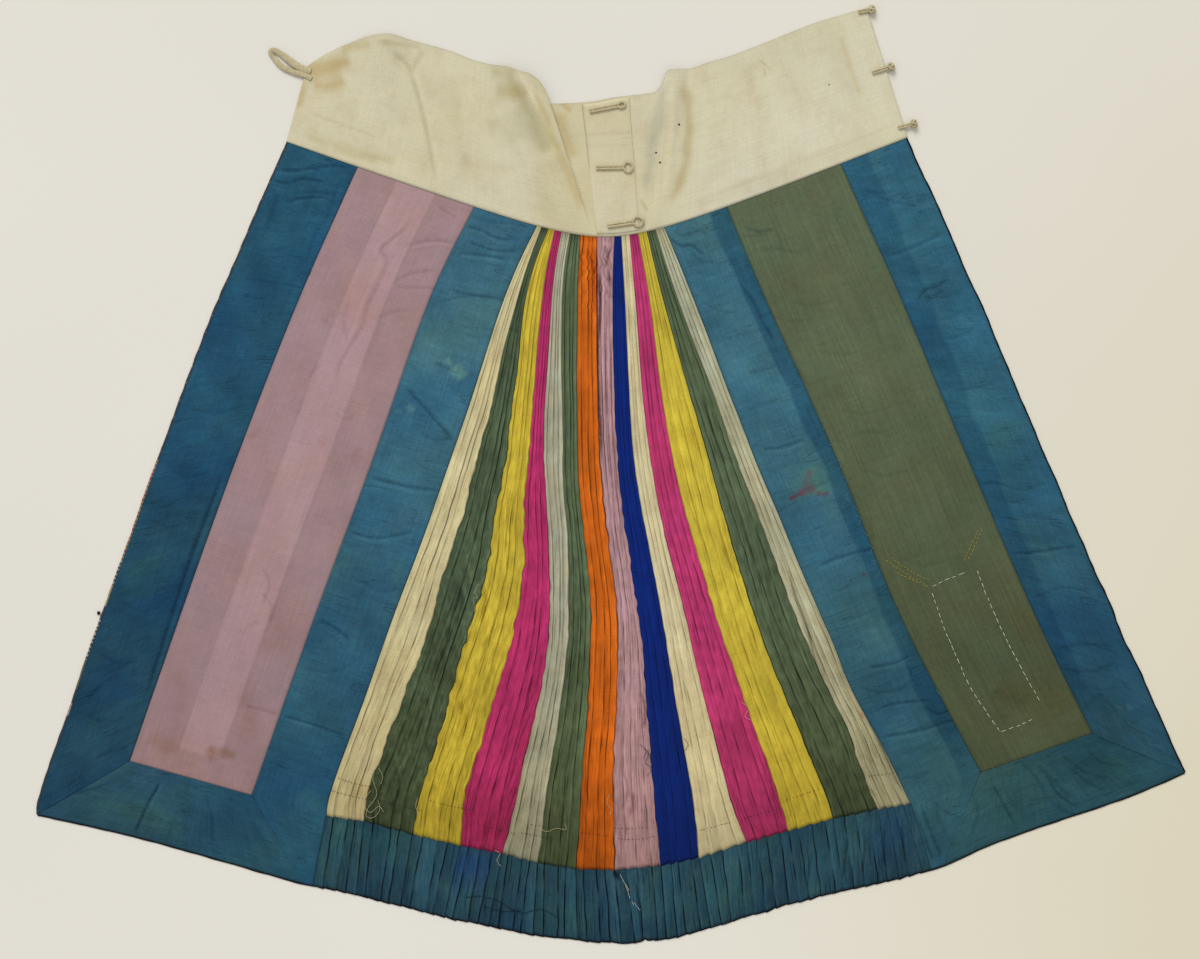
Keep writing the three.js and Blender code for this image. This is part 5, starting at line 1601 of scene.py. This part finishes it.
def build_waistband(made):
    count = 300
    at = np.linspace(0, SECTION_AT[-1], count)
    crowded = np.interp(np.arange(count), [0, 92, 200, count - 1],
                        [0, SECTION_AT[9], SECTION_AT[24], SECTION_AT[-1]])
    at = 0.4 * at + 0.6 * crowded
    up = np.linspace(1, 0, 53)
    plan, lift = band_grid(at, up)
    x, y = plan[..., 0], plan[..., 1]
    v = up[:, None] * np.ones_like(x)
    edge = np.minimum(v * BAND_WIDTH, (1 - v) * BAND_WIDTH)
    inside = smooth(0, 20, edge)
    height = BAND_TOP + lift
    height += inside * (0.22 * ripple(x, y, 110, 901) + 0.12 * ripple(x, y, 38, 902)
                        + 0.05 * ripple(x, y, 12, 903))
    height -= 0.35 * np.exp(-edge / 2.0)
    tint = np.ones((*x.shape, 3))
    # Painted shade along the upper edge and the waist seam.
    ends_shade = 0.24 * np.exp(-(1 - v) * BAND_WIDTH / 1.5) + 0.08 * np.exp(-v * BAND_WIDTH / 1.6)
    tint *= (1 - ends_shade)[..., None]
    warm = 0.5 + 0.5 * ripple(x, y, 210, 911)
    tint *= np.dstack([1 - 0.02 * warm, 1 - 0.03 * warm, 1 - 0.09 * warm])
    lighter = smooth(20, 200, x)
    tint *= np.dstack([1 + 0.03 * lighter, 1 + 0.05 * lighter, 1 + 0.10 * lighter])
    centre_tan = smooth(-95, -70, x) * smooth(30, -10, x) * smooth(250, 330, y)
    tint *= np.dstack([1 - 0.03 * centre_tan, 1 - 0.05 * centre_tan, 1 - 0.12 * centre_tan])
    flap = at[None] * np.ones_like(x)
    left_layer = smooth(SECTION_AT[17], SECTION_AT[15], flap)
    right_layer = 1 - left_layer
    mark(x, y, height, tint, BAND_MARKS, lambda start_x: left_layer if start_x < LAYERS_MEET else right_layer)
    # Painted shade along the flap's fold.
    fold = np.exp(-((flap - SECTION_AT[15]) / 3.5) ** 2) * smooth(0.0, 0.3, v)
    tint *= (1 - 0.12 * fold)[..., None]
    # Painted shade along the crease at the flap's edge.
    crease = np.exp(-((flap - SECTION_AT[18]) / 4.0) ** 2) * smooth(0.2, 0.9, v)
    tint *= np.dstack([1 - 0.22 * crease, 1 - 0.27 * crease, 1 - 0.36 * crease])
    height = np.minimum(height, 11.3)
    under = np.clip(height - BAND_THICK, 0.04, None)
    flat_layer = smooth(SECTION_AT[19], SECTION_AT[21], flap) + smooth(SECTION_AT[11], SECTION_AT[9], flap)
    under = np.where(flat_layer > 0.5, under, np.clip(height - 1.0, 0.04, None))
    weave = np.dstack([at[None] * np.ones_like(x), v * BAND_WIDTH, np.zeros_like(x)])
    piece = shell("waistband", plan, height, under, tint, weave)
    dress(piece, made["band_cotton"], "band_cotton", "waistband")
    return piece, plan


def build_placket(made):
    count = 42
    first = np.interp(-16, SECTIONS[:, 0], SECTION_AT)
    last = np.interp(33, SECTIONS[:, 0], SECTION_AT)
    at = np.linspace(first, last, count)
    up = np.linspace(0.985, 0.02, 70)
    plan, lift = band_grid(at, up)
    x, y = plan[..., 0], plan[..., 1]
    u = np.linspace(0, 1, count)[None] * np.ones_like(x)
    v = up[:, None] * np.ones_like(x)
    sides = np.minimum(u, 1 - u) * PLACKET_WIDTH
    ends = np.minimum(0.985 - v, v - 0.02) * BAND_WIDTH
    near_edge = np.minimum(sides, ends)
    height = BAND_TOP + lift + 1.25 - 1.0 * np.exp(-near_edge / 2.2) + 0.06 * ripple(x, y, 22, 931)
    tint = np.ones((*x.shape, 3))
    # Painted shadow along the placket's left edge, strongest down its middle, and a faint one along its right
    # edge.
    left_line = np.exp(-u * PLACKET_WIDTH / 1.1) * (0.34 * smooth(0.45, 0.62, v) + 0.04)
    right_line = np.exp(-(1 - u) * PLACKET_WIDTH / 1.1) * 0.05
    tint *= np.dstack([1 - share * left_line - right_line for share in (1, 1.05, 1.15)])
    # Two creases across the placket, with painted shade in them.
    for row, strength in ((134, 0.09), (146, 0.07)):
        level = (PHOTO_ORIGIN[1] - row) * PIXEL
        cross = np.exp(-((y - level - 0.06 * x) / 1.5) ** 2)
        tint *= (1 - strength * cross)[..., None]
        height -= 0.15 * cross
    tan = smooth(300, 420, y)
    tint *= np.dstack([1 - 0.02 * tan, 1 - 0.04 * tan, 1 - 0.09 * tan])
    weave = np.dstack([at[None] * np.ones_like(x), v * BAND_WIDTH, np.zeros_like(x)])
    piece = shell("loop_placket", plan, height, BAND_TOP + lift - 0.1, tint, weave)
    dress(piece, made["placket_cotton"], "placket_cotton", "loop_placket")
    return piece, plan


# Loops, knots and the hanging loop

CORD = 1.45
LOOP_MIDDLE = 5.05
LOOP_HALF = 1.42
KNOT_MIDDLE = 4.5
KNOT_CORD = 1.25
STEM_PLY = 1.12
STEM_MIDDLE = 4.1
LOOPS = [
    ("button_loop_1", (-25, 418), (12, 425), 4.2, 3.3),
    ("button_loop_2", (-17, 353), (19.5, 353.5), 5.2, 5.5),
    ("button_loop_3", (-4, 286), (31, 291), 5.8, 5.3),
]
KNOTS = [
    ("knot_button_1", (284, 532), (300, 534.5)),
    ("knot_button_2", (300, 462), (322, 469)),
    ("knot_button_3", (330, 399), (348, 403.5)),
]


def rounded_path(points, samples):
    """A smooth path through 3-D points, evenly spaced."""
    return Spline(points, 800)(np.linspace(0, 1, samples))


def build_loops(made):
    pieces = []
    for number, (name, stem, ring, along, across) in enumerate(LOOPS):
        turn = math.atan2(ring[1] - stem[1], ring[0] - stem[0])
        length = math.hypot(ring[1] - stem[1], ring[0] - stem[0])
        stem_end = length - along - CORD
        half = LOOP_HALF
        opening = math.asin(half / across)
        route = [(0, half, 0), (stem_end * 0.5, half + 0.15, 0.1), (stem_end, half, 0)]
        for step in range(9):
            angle = math.pi - opening - step / 8 * 2 * (math.pi - opening)
            route.append((length + along * math.cos(angle), across * math.sin(angle), 0.15))
        route += [(stem_end, -half, 0), (stem_end * 0.5, -half - 0.1, 0.1), (0, -half, 0)]
        path = rounded_path(route, 190)
        cosine, sine = math.cos(turn), math.sin(turn)
        path = path @ np.array([[cosine, sine, 0], [-sine, cosine, 0], [0, 0, 1]]) + [*stem, LOOP_MIDDLE]
        path[:, :2] += 0.12 * np.stack([ripple(path[:, 0], path[:, 1], 9, 40 + number),
                                        ripple(path[:, 0], path[:, 1], 8, 50 + number)], axis=1)
        piece = tubes(name, [path], CORD, sides=14, twist=(0.09, 3.6))
        pieces.append(dress(piece, made["cord_cotton"], "cord_cotton", name))
    return pieces


def build_knots(made):
    pieces = []
    for number, (name, stem, knot) in enumerate(KNOTS):
        ahead = np.array([knot[0] - stem[0], knot[1] - stem[1], 0.0])
        length = np.linalg.norm(ahead)
        ahead /= length
        side = np.array([-ahead[1], ahead[0], 0])
        centre = np.array([knot[0], knot[1], KNOT_MIDDLE])
        t = np.linspace(0, 2 * math.pi, 260, endpoint=False)
        tilt = 0.95 * np.sin(4 * t + number)
        turn = 3 * t
        radius = 3.75 + 0.45 * np.cos(8 * t + 2 * number)
        around = (
            ahead[None] * (np.sin(tilt) * radius)[:, None]
            + side[None] * (np.cos(tilt) * np.cos(turn) * radius)[:, None]
            + np.array([0, 0, 1.0])[None] * (np.cos(tilt) * np.sin(turn) * radius * 0.96)[:, None]
        )
        ball = centre + around
        ball[:, 2] = np.maximum(ball[:, 2], 1.1)
        start = np.array([stem[0], stem[1], STEM_MIDDLE])
        end = centre - ahead * 2.0
        parts = [(tube_grid(ball, np.full(len(ball), KNOT_CORD), 10), None)]
        for which in (-1, 1):
            route = [start + side * which * 1.15, (start * 0.55 + end * 0.45) + side * which * 1.25,
                     end + side * which * 1.0]
            ply = rounded_path(route, 50)
            parts.append((tube_grid(ply, np.full(len(ply), STEM_PLY), 12, twist=(0.09, 3.2)), ply))
        core = rounded_path([centre + ahead * at for at in (-2.4, -1.2, 0, 1.2, 2.4)], 9)
        parts.append((tube_grid(core, [0.4, 1.9, 2.5, 2.8, 2.9, 2.8, 2.5, 1.9, 0.4], 12), core))
        piece = tube_object(name, parts)
        pieces.append(dress(piece, made["cord_cotton"], "cord_cotton", name))
    return pieces


def build_hanging_loop(made):
    route = [(-344, 455, 2.9), (-353, 459.8, 3.0), (-365, 463.2, 2.6), (-378, 469.2, 2.1),
             (-388.4, 480.5, 1.9), (-391, 485.6, 2.2), (-388.4, 487.9, 2.7), (-383.4, 486.6, 2.4),
             (-376, 481.4, 2.0), (-364.5, 472.6, 2.4), (-354, 466.6, 3.0), (-345, 463.5, 3.0)]
    path = rounded_path(route, 150)
    share = np.linspace(0, 1, 150)
    wide = 3.2 + 0.8 * smooth(0.5, 0.75, share) + 0.25 * along_ripple(share, 0.3, 7)
    wide *= 1 - 0.25 * np.exp(-((share - 0.47) / 0.05) ** 2)
    grid = tube_grid(path, wide, 16, flat=0.42)
    grid[..., 2] = np.maximum(grid[..., 2], 0.15)
    piece = tube_object("hanging_loop", [(grid, path)])
    return dress(piece, made["cord_cotton"], "cord_cotton", "hanging_loop")


# Sewing and loose threads


def thread_runs(route, stitch, gap, height, seed, wander=0.4):
    """Running stitches along a route in photo pixels: short humped lengths of thread."""
    path = Spline(from_photo(*route))
    rng = np.random.RandomState(seed)
    at, runs = rng.uniform(0, gap), []
    while at < path.length - stitch:
        long = stitch * rng.uniform(0.75, 1.25)
        shares = (at + np.linspace(0, long, 5)) / path.length
        points = path(np.clip(shares, 0, 1))
        points = points + rng.uniform(-wander, wander, 2)
        lift = np.array([-0.35, 0.18, 0.28, 0.18, -0.35])
        runs.append(np.column_stack([points, height + lift]))
        at += long + gap * rng.uniform(0.7, 1.3)
    return runs


def loose_threads(routes, height, seed):
    """Thread ends that curl over the cloth, each through a few photo pixels."""
    found = []
    for number, route in enumerate(routes):
        path = Spline(from_photo(*route))
        share = np.linspace(0, 1, max(16, int(path.length)))
        lift = height + 0.4 * np.abs(along_ripple(share, 0.4, seed + number))
        found.append(np.column_stack([path(share), lift]))
    return found


def runs_of(routes, stitch, gap, height, seed, wander=0.4):
    found = []
    for number, route in enumerate(routes):
        found += thread_runs(route, stitch, gap, height, seed + number, wander)
    return found


def build_threads(made):
    rectangle = runs_of([
        [(931, 587), (950, 578), (968, 571)],
        [(977, 570), (987, 597), (1006, 639), (1027, 679), (1042, 705)],
        [(932, 593), (939, 613), (946, 633), (958, 660), (971, 689), (1000, 732)],
        [(1000, 732), (1017, 726), (1036, 717)],
    ], 5.2, 3.2, 2.3, 1000)
    dotted = runs_of([
        [(331, 790), (352, 796), (376, 800)], [(337, 777), (358, 784), (382, 788)],
        [(380, 800), (404, 806), (424, 811)], [(430, 800), (452, 806), (474, 810)],
        [(478, 824), (504, 831), (518, 834)], [(520, 832), (560, 840)], [(530, 824), (552, 828)],
        [(580, 832), (610, 836)], [(612, 828), (634, 828), (652, 826)], [(612, 838), (636, 839), (654, 836)],
        [(700, 830), (730, 822)], [(744, 818), (778, 808)], [(786, 800), (820, 788)],
        [(866, 776), (900, 772)],
    ], 1.3, 2.7, 3.1, 1100, 0.3)
    yellow = runs_of([
        [(885, 560), (906, 574), (928, 586)], [(890, 557), (912, 572), (932, 581)], [(896, 572), (920, 584)],
        [(968, 560), (976, 543), (983, 526)], [(963, 561), (972, 543), (979, 527)],
    ], 3.0, 1.6, 2.3, 1200)
    hem_stitches = runs_of([
        [(466, 897), (480, 896), (497, 899)], [(484, 906), (505, 911), (524, 909)],
        [(497, 899), (520, 912), (540, 908)], [(540, 908), (552, 914), (560, 921)],
    ], 5.0, 1.0, 3.6, 1300, 0.8)
    pale_ends = [
        [(377, 764), (373, 778), (377, 794), (368, 808), (367, 816), (374, 817), (380, 809), (378, 800)],
        [(379, 768), (383, 776), (381, 784)], [(371, 790), (364, 802), (370, 812), (379, 806), (384, 812)],
        [(478, 584), (475, 592), (478, 598), (474, 598), (475, 612)],
        [(418, 798), (416, 806), (420, 818), (417, 826)],
        [(540, 829), (548, 831), (556, 828), (566, 829), (565, 823)],
        [(609, 794), (607, 803), (611, 809), (610, 815)],
        [(495, 850), (500, 853), (497, 860), (501, 866)], [(620, 556), (626, 562), (623, 570)],
        [(742, 702), (748, 708), (745, 716), (751, 720)],
    ]
    teal_ends = [
        [(820, 420), (825, 424), (823, 430)], [(828, 444), (833, 446)], [(836, 460), (842, 463), (838, 470)],
        [(842, 476), (847, 480), (844, 486)], [(849, 492), (846, 498), (851, 502)], [(853, 505), (857, 510)],
        [(856, 516), (861, 518), (858, 526)], [(863, 532), (868, 536)], [(868, 544), (872, 548), (869, 554)],
        [(872, 560), (877, 562)], [(880, 572), (876, 578)], [(936, 690), (941, 696)],
    ]
    blue_ends = [
        [(644, 748), (649, 754), (645, 762), (652, 768), (647, 775)], [(647, 752), (653, 758), (650, 770)],
        [(684, 738), (688, 744), (685, 750)], [(640, 744), (646, 750), (643, 758)],
        [(633, 570), (640, 572), (638, 578)],
    ]
    white_ends = [
        [(620, 874), (626, 886), (630, 898)], [(632, 901), (634, 905)], [(634, 902), (640, 910)],
        [(626, 884), (629, 890)],
    ]
    groups = [
        ("basting_white", rectangle, 0.27, "white_thread", "olive_silk"),
        ("basting_dark", dotted, 0.30, "dark_thread", "cream_silk"),
        ("basting_yellow", yellow, 0.26, "yellow_thread", "olive_silk"),
        ("hem_stitches", hem_stitches, 0.30, "ink_thread", "hem_blue_silk"),
        ("loose_pale", loose_threads(pale_ends, 3.7, 20), 0.17, "pale_thread", "cream_silk"),
        ("loose_teal", loose_threads(teal_ends, 2.5, 40), 0.22, "teal_thread", "olive_silk"),
        ("loose_blue", loose_threads(blue_ends, 3.7, 60), 0.26, "blue_thread", "royal_blue_silk"),
        ("loose_white", loose_threads(white_ends, 3.8, 80), 0.17, "white_thread", "hem_blue_silk"),
    ]
    for name, paths, radius, material, slot in groups:
        piece = tubes(name, paths, radius)
        dress(piece, made[material], slot)
    stitches = thread_runs([(592, 105), (597, 107), (601, 110)], 1.6, 1.2, 6.2, 5, 0.3)
    stitches += thread_runs([(591, 110), (597, 112)], 1.6, 1.4, 6.0, 6, 0.3)
    piece = tubes("loop_stitches", stitches, 0.2)
    dress(piece, made["pale_thread"], "cord_cotton")
    (knot_x, knot_y), = from_photo((101, 613))
    turn = np.linspace(0, 2 * math.pi, 40, endpoint=False)
    lump = np.column_stack([knot_x - 2.4 + 1.2 * np.cos(2 * turn), knot_y + 1.3 * np.sin(3 * turn),
                            1.6 + 0.5 * np.sin(2 * turn + 1)])
    piece = tubes("trim_knot", [lump], 0.75, sides=8, closed=True)
    dress(piece, made["piping_silk"], "piping_silk")


# Everything together


INK = (38, 42, 66)
FAINT_INK = (70, 66, 70)
INK_DOTS = [
    # place in the photograph, width mm, colour
    ((679, 125), 1.5, INK), ((656, 153), 1.4, INK), ((660, 163), 1.5, INK), ((829, 85), 1.0, FAINT_INK),
]
THREADS = [
    # name, colour and sheen
    ("white_thread", (226, 224, 208), 0.1), ("pale_thread", (206, 192, 150), 0.1),
    ("yellow_thread", (178, 164, 62), 0.1), ("dark_thread", (74, 62, 52), 0.0),
    ("ink_thread", (16, 30, 44), 0.0), ("blue_thread", (50, 58, 88), 0.0),
    ("teal_thread", (92, 138, 150), 0.0),
]


def make_materials():
    made = {}

    def add(name, colour, roughness, sheen, **looks):
        made[name] = cloth_material(name, colour, roughness, sheen, **looks)

    def silk(name, colour, **looks):
        add(name, colour, 0.6, 0.02, **looks)

    spots = [(*from_photo(pixel)[0], radius, colour) for pixel, radius, colour in INK_DOTS]
    cotton = {"streak": 0.025, "slub": 0.035, "mottle": 0.03, "thread": 0.8, "grain": 0.12}
    blue = {"streak": 0.10, "slub": 0.07, "cloud": 0.10, "mottle": 0.12, "across": 0.8}
    add("band_cotton", (210, 204, 176), 0.88, 0.05, **cotton, cloud=0.05, worn=((186, 172, 136), 0.45),
        spots=spots)
    add("placket_cotton", (210, 203, 173), 0.88, 0.05, **cotton, cloud=0.04, worn=((190, 174, 134), 0.4))
    add("cord_cotton", (187, 176, 141), 0.9, 0.2, streak=0.1, slub=0.1, cloud=0.1, thread=0.5, grain=0.15)
    silk("left_blue_silk", BLUE, **blue, worn=((80, 118, 118), 0.22))
    silk("right_blue_silk", BLUE, **blue, worn=((80, 116, 112), 0.22))
    silk("hem_blue_silk", (36, 68, 83), streak=0.10, slub=0.06, cloud=0.20, mottle=0.13, crumple=1.1,
         worn=((58, 86, 78), 0.5))
    silk("pink_silk", (163, 134, 138), streak=0.05, slub=0.035, cloud=0.05, mottle=0.05, across=0.2,
         worn=((166, 140, 126), 0.35))
    silk("olive_silk", OLIVE, streak=0.13, slub=0.05, cloud=0.08, mottle=0.10, across=0.28,
         worn=((94, 92, 66), 0.4))
    add("piping_silk", (20, 19, 25), 0.6, 0.05, streak=0.1, slub=0.1)
    add("woven_trim", (255, 255, 255), 0.7, 0.1, streak=0.1, slub=0.1)
    for name, colour, sheen in THREADS:
        add(name, colour, 0.8, sheen, streak=0, slub=0, cloud=0)
    for index, (name, colour) in enumerate(STRIPS):
        silk(f"{name}_silk_{index + 1:02d}", colour, streak=0.08, slub=0.04, cloud=0.06, mottle=0.06,
             crumple=(0.25 + 0.7 * CRINKLE[index]) * LIVELY[name] ** 0.7, worn=WORN.get(name))
    return made


bpy.context.scene.view_settings.view_transform = "Standard"
add_camera()
add_world(0.585, (1.0, 0.99, 0.975))
add_sun("key light", 1.80, 32, (-44, -18, 0), (1.0, 0.99, 0.975))
add_floor()
materials = make_materials()
build_panels(materials)
build_strips(materials)
hem, hem_plan = build_pleated_hem(materials)
hem_piping = build_edgings(materials)
cut(hem, hem_plan)
band, band_plan = build_waistband(materials)
placket, placket_plan = build_placket(materials)
loops = build_loops(materials)
knots = build_knots(materials)
hanger = build_hanging_loop(materials)
cut(band, band_plan)
cut(placket, placket_plan)
build_threads(materials)
